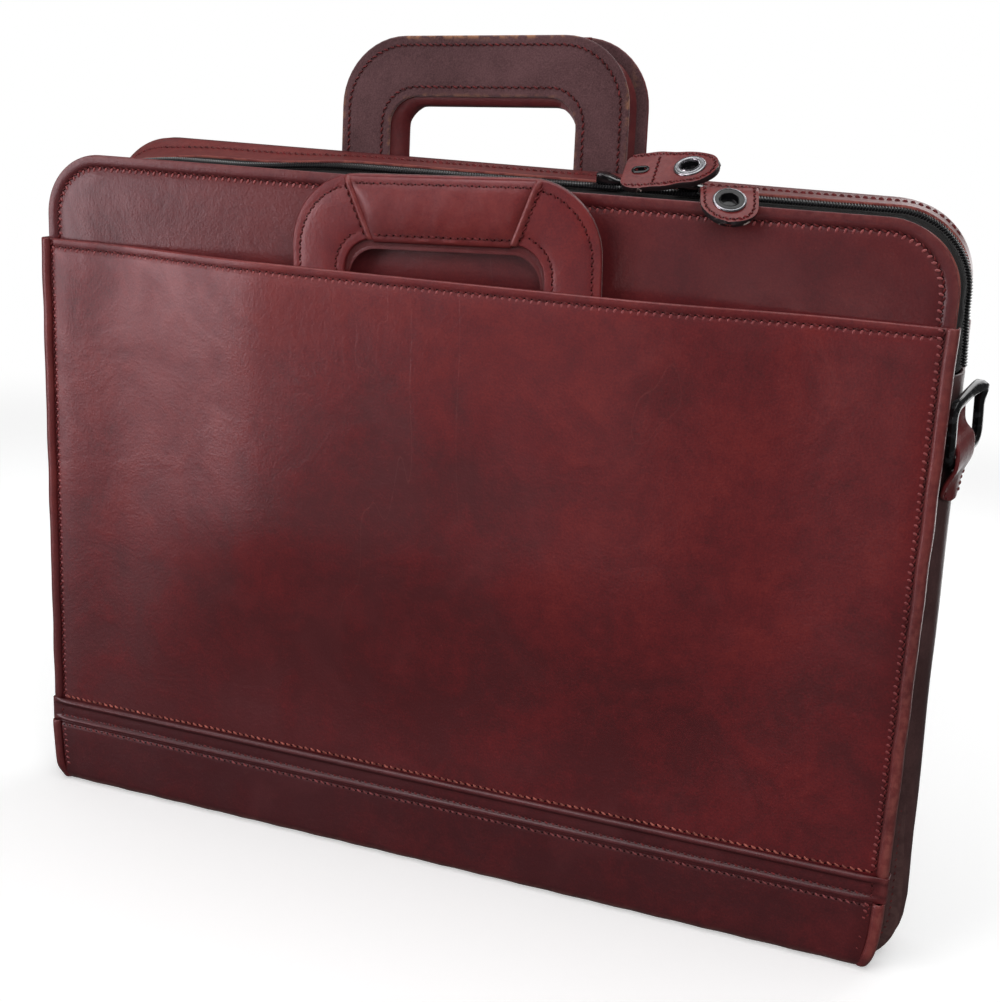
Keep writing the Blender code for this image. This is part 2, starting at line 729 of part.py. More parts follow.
def build_end_ring(side, name):
    """Rectangular ring on its hinge axis, and the strap that is sewn down over its foot bar."""
    seat = Matrix.Translation((side * RING_OUT, RING_MID_Y, RING_FOOT_Z))
    seat = seat @ Matrix.Rotation(-side * RING_SPLAY, 4, "Z") @ Matrix.Rotation(RING_TILT, 4, "X")
    pivot = add_empty(name + "_hinge", seat @ Matrix.Rotation(side * RING_LEAN, 4, "Y"))
    curve = bpy.data.curves.new(name + "_ring", "CURVE")
    curve.dimensions = "3D"
    curve.bevel_depth = RING_WIRE
    curve.bevel_resolution = 1
    curve.use_fill_caps = True
    points = rounded_box(-RING_DEPTH_HALF, RING_DEPTH_HALF, 0.0, RING_TALL, RING_BEND, 3)
    spline = curve.splines.new("POLY")
    spline.points.add(len(points) - 1)
    for target, (y, z) in zip(spline.points, points):
        target.co = (0.0, y, z, 1.0)
    spline.use_cyclic_u = True
    add_object(name + "_ring", curve, BLACK, pivot)

    around = RING_WIRE + GAP + STRIP_WALL / 2
    path = [(around, z, on_bar) for z, on_bar in STRAP_FALL]
    path += [(out, z, 1.0) for out, z in arc((0.0, 0.0), around, -20, 50, 4)]
    path += [(0.0, z, 0.0) for z in (around * 2.0, STRAP_TOP)]

    def place(row, share):
        out, z, on_bar = row
        turn = max(0.0, -z - STRAP_ROUND) / (STRAP_ROUND + STRAP_FALL[0][0])
        narrow = math.sqrt(max(0.01, 1.0 - turn ** 2))
        spot = seat @ Vector((side * out, STRAP_MIDDLE + share * STRAP_HALF * narrow, z))
        flat = side_face(spot.y, spot.z) + STRAP_GAP + STRIP_WALL / 2
        spot.x = side * lerp(flat, abs(spot.x), on_bar)
        return spot

    add_sheet(name + "_ring_strap", path, spread(-1.0, 1.0, 4), place, STRIP_WALL, LEATHER)


def main():
    """Build the case, leaf by leaf, then what joins and closes them."""
    for leaf in (FRONT, BACK):
        parent = add_empty(leaf.name + "_leaf", leaf.matrix())
        build_panel(leaf, parent)
        build_pocket(leaf, parent)
        build_band(leaf, parent)
        build_base(leaf, parent)
        depth = POCKET_DEPTH + POCKET_WALL / 2 + GAP + BINDING_WALL / 2
        low_depth = BASE_DEPTH + POCKET_WALL / 2 + GAP + BINDING_WALL / 2
        for side, end in ((-1, "_left"), (1, "_right")):
            build_binding(leaf, parent, "_binding" + end, side, BAND_TOP + GAP,
                          POCKET_MOUTH, depth)
            build_binding(leaf, parent, "_base_binding" + end, side, 0.0090,
                          BASE_TOP, low_depth)
        build_handle(leaf, parent)
    build_gusset()
    chain_top = build_zipper()
    for end, x in zip(("left", "right"), SLIDER_STATIONS):
        build_slider("zip_slider_" + end, x, chain_top)
    for name, place, heading, bank, pitch, bend_at, bend in PULLS:
        build_pull(name, pull_frame(place, heading, bank, pitch), bend_at, math.radians(bend))
    build_end_ring(1, "right")
    build_end_ring(-1, "left")


clear_scene()
PARTS = make_collection("document_case")
CUTTERS = make_collection("cutters")
LEATHER = make_material("burgundy_leather", (0.115, 0.022, 0.024), 0.42)
EDGE_LEATHER = make_material("edge_leather", (0.130, 0.030, 0.030), 0.46)
GUSSET_LEATHER = make_material("gusset_leather", (0.085, 0.040, 0.040), 0.50)
SUEDE = make_material("brushed_lining", (0.070, 0.030, 0.034), 0.85)
TAPE = make_material("zipper_tape", (0.028, 0.022, 0.022), 0.80)
BLACK = make_material("black_enamel", (0.008, 0.008, 0.009), 0.28)
METAL = make_material("dark_snap", (0.180, 0.180, 0.190), 0.30, 1.0)
main()
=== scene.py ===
"""Looks of the leather document case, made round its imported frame.

Every sheet of leather starts as a flat blank, is cut up by edit-mode operators, is laid on
the same leaning leaves and gusset ring as the solids, and then gets its wall and round edges.
Sizes are in metres: +X right along the case, +Y from the front to the back, +Z up.
"""

import logging
import math
import random
from dataclasses import dataclass
from enum import Enum
from typing import Callable, Optional, Sequence, Union

import bpy
import numpy as np
from mathutils import Matrix, Vector


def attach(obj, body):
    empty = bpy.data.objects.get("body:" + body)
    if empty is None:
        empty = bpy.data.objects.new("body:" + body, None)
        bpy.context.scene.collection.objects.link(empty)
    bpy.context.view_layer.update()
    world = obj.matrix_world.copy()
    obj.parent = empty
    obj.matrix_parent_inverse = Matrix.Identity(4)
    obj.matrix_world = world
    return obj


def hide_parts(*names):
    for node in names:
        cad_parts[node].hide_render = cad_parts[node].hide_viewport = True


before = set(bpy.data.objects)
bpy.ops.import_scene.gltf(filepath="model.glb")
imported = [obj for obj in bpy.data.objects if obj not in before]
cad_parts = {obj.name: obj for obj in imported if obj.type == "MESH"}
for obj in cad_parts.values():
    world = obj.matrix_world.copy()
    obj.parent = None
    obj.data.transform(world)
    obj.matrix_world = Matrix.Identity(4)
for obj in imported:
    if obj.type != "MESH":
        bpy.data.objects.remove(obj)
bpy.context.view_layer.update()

LOG = logging.getLogger("document_case")

Colour = tuple[float, float, float]
Place = Callable[[float, float], Vector]
Socket = bpy.types.NodeSocket
Value = Union[float, Colour, Socket]
Mark = Union[float, Callable[[Vector], float]]

# The case's own sizes, as in its solids
CASE_HALF = 0.200
PANEL_HALF = 0.198
STAND_Y = -0.0097
BASE_HALF_DEPTH = 0.011
PANEL_FOOT = 0.0042
FOOT_RADIUS = 0.012
PANEL_WALL = 0.0020
POCKET_WALL = 0.0015
BINDING_WALL = 0.0011
POCKET_MOUTH = 0.2645
POCKET_FOOT = 0.0360
POCKET_DEPTH = 0.0036
BAND_TOP = 0.0425
BAND_FOOT = 0.0316
BAND_DEPTH = 0.0054
BASE_TOP = 0.0315
BASE_DEPTH = 0.0060
STITCH_PITCH = 0.0031
SMALL_PITCH = 0.0026
MILLIMETRE = 0.001
LYING_X = (0.0, math.pi / 2, 0.0)
LYING_Y = (math.pi / 2, 0.0, 0.0)
SEAM_INSET = 0.0050


class Slot(Enum):
    """Material slots of the record."""

    LEATHER = "burgundy_leather"
    EDGE = "edge_leather"
    GUSSET = "gusset_leather"
    LINING = "brushed_lining"
    TAPE = "zipper_tape"
    ENAMEL = "black_enamel"
    SNAP = "dark_snap"


class Body(Enum):
    """Bodies of the frame that a piece can ride on."""

    ROOT = "root"
    FRONT_HANDLE = "front_handle"
    BACK_HANDLE = "back_handle"
    RIGHT_RING = "right_ring"
    LEFT_RING = "left_ring"


# Small sums

def lerp(a: float, b: float, t: float) -> float:
    """Value a share t of the way from a to b."""
    return a + (b - a) * t


def ease(low: float, high: float, value: float) -> float:
    """0 below low, 1 above high, and an even slope between them."""
    t = min(1.0, max(0.0, (value - low) / (high - low)))
    return t * t * (3.0 - 2.0 * t)


def hump(distance: float, width: float) -> float:
    """1 at no distance, falling away over a width on both sides."""
    return math.exp(-(distance / width) ** 2)


def spread(low: float, high: float, count: int) -> list[float]:
    """Even stations from low to high, both included."""
    return [lerp(low, high, i / count) for i in range(count + 1)]


def read_table(table: Sequence[tuple[float, float]], key: float) -> float:
    """Value of a two-column table at key, eased between its rows."""
    if key <= table[0][0]:
        return table[0][1]
    for (k0, v0), (k1, v1) in zip(table, table[1:]):
        if key <= k1:
            return lerp(v0, v1, ease(k0, k1, key))
    return table[-1][1]


def arc(centre: tuple[float, float], radius: float, start: float, stop: float,
        steps: int) -> list[tuple[float, float]]:
    """Points on an arc, by angles in degrees, both ends included.

    Args:
        centre: middle of the arc.
        radius: its radius.
        start: first angle.
        stop: last angle.
        steps: number of steps between them.

    Returns:
        The points in order.
    """
    turns = [math.radians(a) for a in spread(start, stop, steps)]
    return [(centre[0] + radius * math.cos(a), centre[1] + radius * math.sin(a)) for a in turns]


def box_loop(half: float, low: float, high: float, radius: float, steps: int,
             side: int) -> list[tuple[float, float]]:
    """Closed outline of a box with round corners, with stations on its straight sides too.

    Args:
        half: half its width.
        low: its lower edge.
        high: its upper edge.
        radius: radius of its corners.
        steps: steps in each corner.
        side: steps along each straight side.

    Returns:
        The points in order, the first one repeated at the end.
    """
    points: list[tuple[float, float]] = []
    corners = ((half - radius, low + radius, -90), (half - radius, high - radius, 0),
               (radius - half, high - radius, 90), (radius - half, low + radius, 180))
    for x, z, start in corners:
        turn = arc((x, z), radius, start, start + 90, steps)
        if points:
            last = points[-1]
            points += [(lerp(last[0], turn[0][0], t), lerp(last[1], turn[0][1], t))
                       for t in spread(0.0, 1.0, side)[1:-1]]
        points += turn
    last = points[-1]
    points += [(lerp(last[0], points[0][0], t), lerp(last[1], points[0][1], t))
               for t in spread(0.0, 1.0, side)[1:]]
    return points


def run_lengths(spots: Sequence[Vector]) -> list[float]:
    """Distance run along a line of points, at each of them."""
    reach = [0.0]
    for a, b in zip(spots, spots[1:]):
        reach.append(reach[-1] + (b - a).length)
    return reach


def find_stretch(reach: Sequence[float], at: float, index: int) -> tuple[int, float]:
    """Stretch of a line in which a distance falls, from a first guess on, and its share."""
    while index < len(reach) - 2 and reach[index + 1] < at:
        index += 1
    return index, (at - reach[index]) / max(1e-9, reach[index + 1] - reach[index])


# Modelling by operators

def deselect() -> None:
    """Leave edit mode if needed, and let go of everything."""
    if bpy.context.object and bpy.context.object.mode != "OBJECT":
        bpy.ops.object.mode_set(mode="OBJECT")
    bpy.ops.object.select_all(action="DESELECT")


def hold(piece: bpy.types.Object) -> None:
    """Select one piece alone and make it the active one."""
    deselect()
    piece.select_set(True)
    bpy.context.view_layer.objects.active = piece


def edit(piece: bpy.types.Object, choose: str = "SELECT") -> None:
    """Go into edit mode on one piece, with all of it selected, or none for DESELECT."""
    hold(piece)
    bpy.ops.object.mode_set(mode="EDIT")
    bpy.ops.mesh.select_all(action=choose)


def named(name: str) -> bpy.types.Object:
    """The object that an operator has just added, under its own name."""
    piece = bpy.context.object
    piece.name = name
    piece.data.name = name
    return piece


def grid(name: str, along: Sequence[float], across: Sequence[float],
         place: Place) -> bpy.types.Object:
    """A grid blank, with each crossing of two stations laid where place says.

    Args:
        name: name of the piece.
        along: stations of the first way.
        across: stations of the second way.
        place: world point for a station of each.

    Returns:
        The laid sheet, with no wall yet.
    """
    deselect()
    cells = (len(along) - 1, len(across) - 1)
    bpy.ops.mesh.primitive_grid_add(x_subdivisions=cells[0], y_subdivisions=cells[1], size=2.0)
    piece = named(name)
    for vertex in piece.data.vertices:
        column = round((vertex.co.x + 1.0) / 2.0 * cells[0])
        row = round((vertex.co.y + 1.0) / 2.0 * cells[1])
        vertex.co = place(along[column], across[row])
    return piece


def merge(piece: bpy.types.Object, distance: float = 0.00001) -> None:
    """Merge the points of a piece that lie on each other, and turn its faces one way."""
    edit(piece)
    bpy.ops.mesh.remove_doubles(threshold=distance)
    bpy.ops.mesh.normals_make_consistent(inside=False)
    deselect()


def turn_faces(piece: bpy.types.Object, way: Vector) -> None:
    """Flip an open sheet if most of it faces away from a direction."""
    if sum(face.normal.dot(way) * face.area for face in piece.data.polygons) < 0.0:
        edit(piece)
        bpy.ops.mesh.flip_normals()
        deselect()


def apply_all(piece: bpy.types.Object) -> None:
    """Apply every modifier of a piece in order."""
    hold(piece)
    for modifier in list(piece.modifiers):
        bpy.ops.object.modifier_apply(modifier=modifier.name)


def give_wall(piece: bpy.types.Object, wall: float, edge: float = 0.45, smooth: int = 0,
              rim_slot: int = 0) -> None:
    """Give a sheet its thickness on both sides, round its edges and smooth it.

    Args:
        piece: the sheet.
        wall: its thickness.
        edge: radius of its edges, as a share of the wall.
        smooth: levels of subdivision.
        rim_slot: how many material slots further the cut edge's material is.
    """
    solid = piece.modifiers.new("wall", "SOLIDIFY")
    solid.thickness = wall
    solid.offset = 0.0
    solid.use_even_offset = True
    solid.material_offset_rim = rim_slot
    if smooth:
        crease = piece.modifiers.new("smooth", "SUBSURF")
        crease.levels = smooth
        crease.render_levels = smooth
        solid.edge_crease_rim = 0.75
    round_edges(piece, wall * edge, 2)
    apply_all(piece)


def round_edges(piece: bpy.types.Object, width: float, segments: int = 2,
                angle: float = 50.0) -> None:
    """Put a bevel on the sharp edges of a piece, to be applied later."""
    bevel = piece.modifiers.new("round", "BEVEL")
    bevel.width = width
    bevel.segments = segments
    bevel.limit_method = "ANGLE"
    bevel.angle_limit = math.radians(angle)
    bevel.use_clamp_overlap = True


def shade(piece: bpy.types.Object, angle: float = 60.0) -> None:
    """Smooth shading, except across sharp edges."""
    hold(piece)
    bpy.ops.object.shade_smooth_by_angle(angle=math.radians(angle))


def paint(piece: bpy.types.Object, wear: Mark, seam: Optional[Mark] = None) -> None:
    """Store how worn and how near a seam each point of a piece is, for its material to read.

    Args:
        piece: the piece, with its mesh final.
        wear: one number for all of it, or the number at a world point.
        seam: the same for the seams, where the material reads them.
    """
    for name, mark in (("wear", wear), ("seam", seam)):
        if mark is None:
            continue
        layer = piece.data.attributes.new(name, "FLOAT", "POINT")
        values = [mark(vertex.co) if callable(mark) else mark for vertex in piece.data.vertices]
        layer.data.foreach_set("value", values)


def dress(piece: bpy.types.Object, body: Body, slot: Slot, replaced: Sequence[str],
          materials: Sequence[bpy.types.Material]) -> bpy.types.Object:
    """Hang a finished piece on its body, and give it its finishes.

    Args:
        piece: the piece, laid in world coordinates.
        body: body that it moves with.
        slot: material slot of the record; not used.
        replaced: solids that it stands for.
        materials: its finishes, in slot order.

    Returns:
        The same piece.
    """
    if not piece.data.materials:
        for material in materials:
            piece.data.materials.append(material)
    shade(piece)
    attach(piece, body.value)
    if replaced:
        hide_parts(*replaced)
    LOG.info("%s: %d faces", piece.name, len(piece.data.polygons))
    return piece


def join_copies(name: str, unit: bpy.types.Object, frames: Sequence[Matrix]) -> bpy.types.Object:
    """One mesh of a small unit repeated at many places.

    Args:
        name: name of the piece.
        unit: the small piece, which is deleted afterwards by its maker.
        frames: place and turn of each copy.

    Returns:
        The joined piece.
    """
    corners = np.array([v.co for v in unit.data.vertices])
    faces = [tuple(face.vertices) for face in unit.data.polygons]
    slots = [face.material_index for face in unit.data.polygons]
    turns = np.array([[row[:] for row in m] for m in frames])
    placed = np.einsum("nij,vj->nvi", turns[:, :3, :3], corners) + turns[:, None, :3, 3]
    count = len(corners)
    every = [tuple(i + k * count for i in face) for k in range(len(frames)) for face in faces]
    mesh = bpy.data.meshes.new(name)
    mesh.from_pydata(placed.reshape(-1, 3).tolist(), [], every)
    mesh.polygons.foreach_set("material_index", slots * len(frames))
    for material in unit.data.materials:
        mesh.materials.append(material)
    piece = bpy.data.objects.new(name, mesh)
    bpy.context.scene.collection.objects.link(piece)
    return piece


def bead(name: str, material: bpy.types.Material, turn: Colour,
         segments: int = 6) -> bpy.types.Object:
    """A small low round of diameter one, turned from standing upright."""
    deselect()
    bpy.ops.mesh.primitive_uv_sphere_add(segments=segments, ring_count=5, radius=0.5,
                                         rotation=turn)
    bpy.ops.object.transform_apply(location=True, rotation=True, scale=True)
    piece = named(name)
    piece.data.materials.append(material)
    return piece


def drop(piece: bpy.types.Object) -> None:
    """Delete a unit or a cutter that has done its work."""
    bpy.data.objects.remove(piece, do_unlink=True)


# Finishes

class Sketch:
    """Short words for wiring one procedural material."""

    def __init__(self, name: str) -> None:
        """Start a material with its shader and its object coordinates."""
        self.material = bpy.data.materials.new(name)
        self.material.use_nodes = True
        self.tree = self.material.node_tree
        self.shader = self.tree.nodes["Principled BSDF"]
        self.where = self.node("TexCoord").outputs["Object"]

    def wire(self, value: Value, socket: Socket) -> None:
        """Link a socket, or set a number or a colour on it."""
        if isinstance(value, bpy.types.NodeSocket):
            self.tree.links.new(value, socket)
        else:
            socket.default_value = (*value, 1.0) if socket.type == "RGBA" else value

    def node(self, kind: str, inputs: Optional[dict[Union[int, str], Value]] = None,
             **options: Union[str, bool]) -> bpy.types.Node:
        """Add a node of a kind, with its options, and set or link its inputs."""
        node = self.tree.nodes.new("ShaderNode" + kind)
        for name, option in options.items():
            setattr(node, name, option)
        for name, value in (inputs or {}).items():
            self.wire(value, node.inputs[name])
        return node

    def set(self, **inputs: Value) -> None:
        """Set or link inputs of the shader, with underscores for spaces."""
        for name, value in inputs.items():
            self.wire(value, self.shader.inputs[name.replace("_", " ")])

    def placed(self, stretch: Colour, shift: float = 0.0) -> Socket:
        """Object coordinates, stretched along each way and shifted."""
        return self.node("Mapping", {"Vector": self.where, "Scale": stretch, "Location": (
            shift, shift * 1.7, shift * 0.6)}).outputs["Vector"]

    def height(self) -> Socket:
        """Height above the ground."""
        return self.node("SeparateXYZ", {0: self.where}).outputs["Z"]

    def noise(self, scale: float, detail: float = 3.0, warp: float = 0.0,
              stretch: Colour = (1.0, 1.0, 1.0), shift: float = 0.0) -> Socket:
        """Cloudy pattern with this many features to the metre."""
        return self.node("TexNoise", {
            "Vector": self.placed(stretch, shift), "Scale": scale, "Detail": detail,
            "Roughness": 0.58, "Distortion": warp}).outputs["Fac"]

    def cells(self, scale: float) -> Socket:
        """Distance pattern of small cells, as leather grain or pores."""
        inputs = {"Vector": self.where, "Scale": scale}
        return self.node("TexVoronoi", inputs).outputs["Distance"]

    def wave(self, scale: float, direction: str, warp: float = 0.0) -> Socket:
        """Bands across one way, as the ribs of a woven tape."""
        inputs = {"Vector": self.where, "Scale": scale, "Distortion": warp}
        return self.node("TexWave", inputs, bands_direction=direction).outputs["Fac"]

    def mark(self, name: str) -> Socket:
        """Number that was painted on the piece."""
        return self.node("Attribute", attribute_name=name).outputs["Fac"]

    def sum(self, operation: str, a: Value, b: Value = 0.0, clamp: bool = False) -> Socket:
        """One step of arithmetic."""
        return self.node("Math", {0: a, 1: b}, operation=operation, use_clamp=clamp).outputs[0]

    def total(self, *parts: tuple[Value, float]) -> Socket:
        """Sum of several patterns, each with its share."""
        result = self.sum("MULTIPLY", *parts[0])
        for part in parts[1:]:
            result = self.sum("ADD", result, self.sum("MULTIPLY", *part))
        return result

    def band(self, value: Value, low: float, high: float, first: float = 0.0,
             last: float = 1.0) -> Socket:
        """Smooth step of a value from one level to another."""
        return self.node("MapRange", {
            "Value": value, "From Min": low, "From Max": high, "To Min": first, "To Max": last},
            interpolation_type="SMOOTHSTEP").outputs["Result"]

    def ramp(self, factor: Value, stops: Sequence[tuple[float, Colour]]) -> Socket:
        """Colours along a factor."""
        node = self.node("ValToRGB", {"Fac": factor})
        points = node.color_ramp.elements
        for index, (place, colour) in enumerate(stops):
            point = points[index] if index < 2 else points.new(place)
            point.position = place
            point.color = (*colour, 1.0)
        return node.outputs["Color"]

    def mix(self, factor: Value, a: Union[Colour, Socket], b: Union[Colour, Socket]) -> Socket:
        """One colour fading into another."""
        return self.node("Mix", {0: factor, 6: a, 7: b}, data_type="RGBA").outputs[2]

    def bump(self, *layers: tuple[Value, float]) -> None:
        """Relief from several patterns, each with its height in metres."""
        height = self.total(*((pattern, rise / MILLIMETRE) for pattern, rise in layers))
        node = self.node("Bump", {"Strength": 1.0, "Distance": MILLIMETRE, "Height": height})
        self.wire(node.outputs["Normal"], self.shader.inputs["Normal"])


def dimmed(colour: Colour, share: float) -> Colour:
    """A colour with each channel times a share."""
    return tuple(channel * share for channel in colour)


@dataclass(frozen=True)
class Leather:
    """Waxed leather that pales where it bends: mottled, finely grained, worn at its edges, and
    darkened towards the foot as painted shade.
    """

    name: str
    deep: Colour
    body: Colour
    bright: Colour
    pale: Colour
    worn: Colour
    roughness: float = 0.37
    grain: float = 0.000035

    def build(self) -> bpy.types.Material:
        """The material. It reads the marks wear and seam; near a seam it is darkened as painted shade
        in the groove.
        """
        s = Sketch(self.name)
        cloud = s.noise(30.0, 5.0, 0.8, shift=0.7)
        small = s.noise(150.0, 4.0)
        fine = s.noise(1200.0, 3.0)
        tone = s.total((s.noise(7.0, 3.0, 0.4), 0.36), (cloud, 0.28), (small, 0.16), (fine, 0.20))
        # painted shade: the tone is lowered towards the foot, where less light reaches the case
        tone = s.sum("ADD", tone, s.band(s.height(), 0.03, 0.26, -0.065, 0.016))
        colour = s.ramp(tone, [(0.41, self.deep), (0.60, self.bright), (0.50, self.body)])
        haze = s.band(s.noise(15.0, 4.0, 1.2, shift=3.1), 0.52, 0.74, 0.0, 0.28)
        colour = s.mix(haze, colour, self.pale)
        hair = s.sum("ABSOLUTE", s.sum("SUBTRACT", s.noise(9.0, 2.0, 1.5, (1.0, 1.0, 0.45), 5.3), 0.5))
        patch = s.band(s.noise(5.0, 1.0, shift=9.1), 0.50, 0.60)
        scratch = s.sum("MULTIPLY", s.band(hair, 0.0, 0.0016, 1.0, 0.0), patch)
        specks = s.sum("MULTIPLY", s.band(s.cells(330.0), 0.06, 0.14, 1.0, 0.0),
                       s.band(small, 0.52, 0.62))
        marks = s.total((scratch, 0.10), (specks, 0.16))
        colour = s.mix(marks, colour, self.worn)
        rub = s.band(s.noise(330.0, 5.0, shift=2.2), 0.38, 0.62, 0.25, 1.0)
        wear = s.sum("MULTIPLY", s.mark("wear"), rub, clamp=True)
        colour = s.mix(wear, colour, self.worn)
        # painted shade: near a seam the colour is darkened, as the shade in its stitched groove
        colour = s.mix(s.sum("MULTIPLY", s.mark("seam"), 0.45), colour,
                       dimmed(self.deep, 0.45))
        s.set(Base_Color=colour, Specular_IOR_Level=0.5,
              Roughness=s.band(cloud, 0.3, 0.7, self.roughness + 0.05, self.roughness - 0.04))
        s.bump((s.cells(950.0), self.grain), (s.noise(420.0, 3.0), self.grain * 1.8),
               (fine, self.grain * 0.7), (cloud, 0.00040), (scratch, -0.00002))
        return s.material


@dataclass(frozen=True)
class Suede:
    """Brushed flesh side of the leather: matt and fibrous, with paler rubbed patches."""

    name: str
    deep: Colour
    light: Colour

    def build(self) -> bpy.types.Material:
        """The material. It reads the mark wear."""
        s = Sketch(self.name)
        nap = s.noise(1500.0, 5.0)
        cloud = s.noise(26.0, 4.0, 0.6)
        tone = s.sum("ADD", s.sum("MULTIPLY", nap, 0.55), s.sum("MULTIPLY", cloud, 0.45))
        colour = s.ramp(tone, [(0.36, self.deep), (0.64, self.light)])
        rub = s.band(s.noise(260.0, 4.0), 0.44, 0.62)
        wear = s.sum("MULTIPLY", s.mark("wear"), rub, clamp=True)
        colour = s.mix(wear, colour, (0.42, 0.20, 0.10))
        s.set(Base_Color=colour, Roughness=0.92, Specular_IOR_Level=0.15, Sheen_Weight=0.55,
              Sheen_Roughness=0.55, Sheen_Tint=(0.75, 0.62, 0.62))
        s.bump((nap, 0.00022), (s.noise(500.0, 3.0), 0.00018))
        return s.material


@dataclass(frozen=True)
class CutEdge:
    """Cut edge of a leather layer: fibrous and uneven, painted or raw."""

    name: str
    paint: Colour
    raw: Colour
    bare: float

    def build(self) -> bpy.types.Material:
        """The material. bare is how much of the raw leather shows through."""
        s = Sketch(self.name)
        chips = s.noise(170.0, 4.0, 0.5, shift=1.3)
        shown = s.band(chips, 0.66 - 0.3 * self.bare, 0.72 - 0.3 * self.bare)
        fibre = s.noise(1300.0, 3.0)
        colour = s.mix(shown, self.paint, s.mix(fibre, self.raw, dimmed(self.raw, 0.6)))
        s.set(Base_Color=colour, Specular_IOR_Level=0.4,
              Roughness=s.band(shown, 0.0, 1.0, 0.45, 0.85))
        s.bump((fibre, 0.00012), (chips, 0.0003))
        return s.material


@dataclass(frozen=True)
class Thread:
    """Waxed sewing thread."""

    name: str
    colour: Colour

    def build(self) -> bpy.types.Material:
        """The material."""
        s = Sketch(self.name)
        shades = s.noise(240.0, 3.0)
        stops = [(0.35, dimmed(self.colour, 0.55)), (0.65, dimmed(self.colour, 1.6))]
        s.set(Base_Color=s.ramp(shades, stops), Roughness=0.55, Specular_IOR_Level=0.35)
        s.bump((s.wave(2400.0, "DIAGONAL", 1.0), 0.00005))
        return s.material


@dataclass(frozen=True)
class Shadow:
    """Painted shade at the bottom of a stitch hole: near black, uneven and quite matt."""

    name: str

    def build(self) -> bpy.types.Material:
        """The material."""
        s = Sketch(self.name)
        s.set(Base_Color=s.ramp(s.noise(900.0), [(0.3, (0.004, 0.001, 0.001)),
                                                 (0.7, (0.020, 0.005, 0.005))]),
              Roughness=0.9, Specular_IOR_Level=0.1)
        return s.material


@dataclass(frozen=True)
class Tape:
    """Woven zipper tape: fine crossed ribs."""

    name: str
    colour: Colour

    def build(self) -> bpy.types.Material:
        """The material."""
        s = Sketch(self.name)
        ribs = s.sum("MAXIMUM", s.wave(700.0, "X"), s.wave(820.0, "Y"))
        lint = s.noise(300.0, 4.0)
        colour = s.mix(s.sum("MULTIPLY", ribs, lint), self.colour, dimmed(self.colour, 2.4))
        s.set(Base_Color=colour, Roughness=0.85, Specular_IOR_Level=0.12, Sheen_Weight=0.04)
        s.bump((ribs, 0.00012), (lint, 0.00010))
        return s.material


@dataclass(frozen=True)
class Enamel:
    """Black paint or moulding: glossy, with faint handling marks and grey rubbed edges."""

    name: str
    roughness: float
    colour: Colour = (0.008, 0.008, 0.009)

    def build(self) -> bpy.types.Material:
        """The material. It reads the mark wear."""
        s = Sketch(self.name)
        cloud = s.noise(220.0, 4.0)
        fine = s.noise(1600.0, 2.0)
        rub = s.sum("MULTIPLY", s.mark("wear"), s.band(cloud, 0.50, 0.62))
        s.set(Base_Color=s.mix(rub, self.colour, (0.06, 0.06, 0.065)), Specular_IOR_Level=0.5,
              Roughness=s.band(cloud, 0.40, 0.68, self.roughness, self.roughness + 0.10))
        s.bump((fine, 0.000004), (cloud, 0.000012))
        return s.material


@dataclass(frozen=True)
class Nickel:
    """Dark plated metal with fine turning marks and dull spots."""

    name: str

    def build(self) -> bpy.types.Material:
        """The material."""
        s = Sketch(self.name)
        spots = s.noise(420.0, 4.0)
        hair = s.noise(2600.0, 2.0)
        s.set(Base_Color=s.ramp(spots, [(0.35, (0.30, 0.30, 0.32)), (0.65, (0.48, 0.48, 0.50))]),
              Metallic=1.0, Roughness=s.band(spots, 0.35, 0.65, 0.34, 0.22))
        s.bump((hair, 0.000003), (spots, 0.000008))
        return s.material


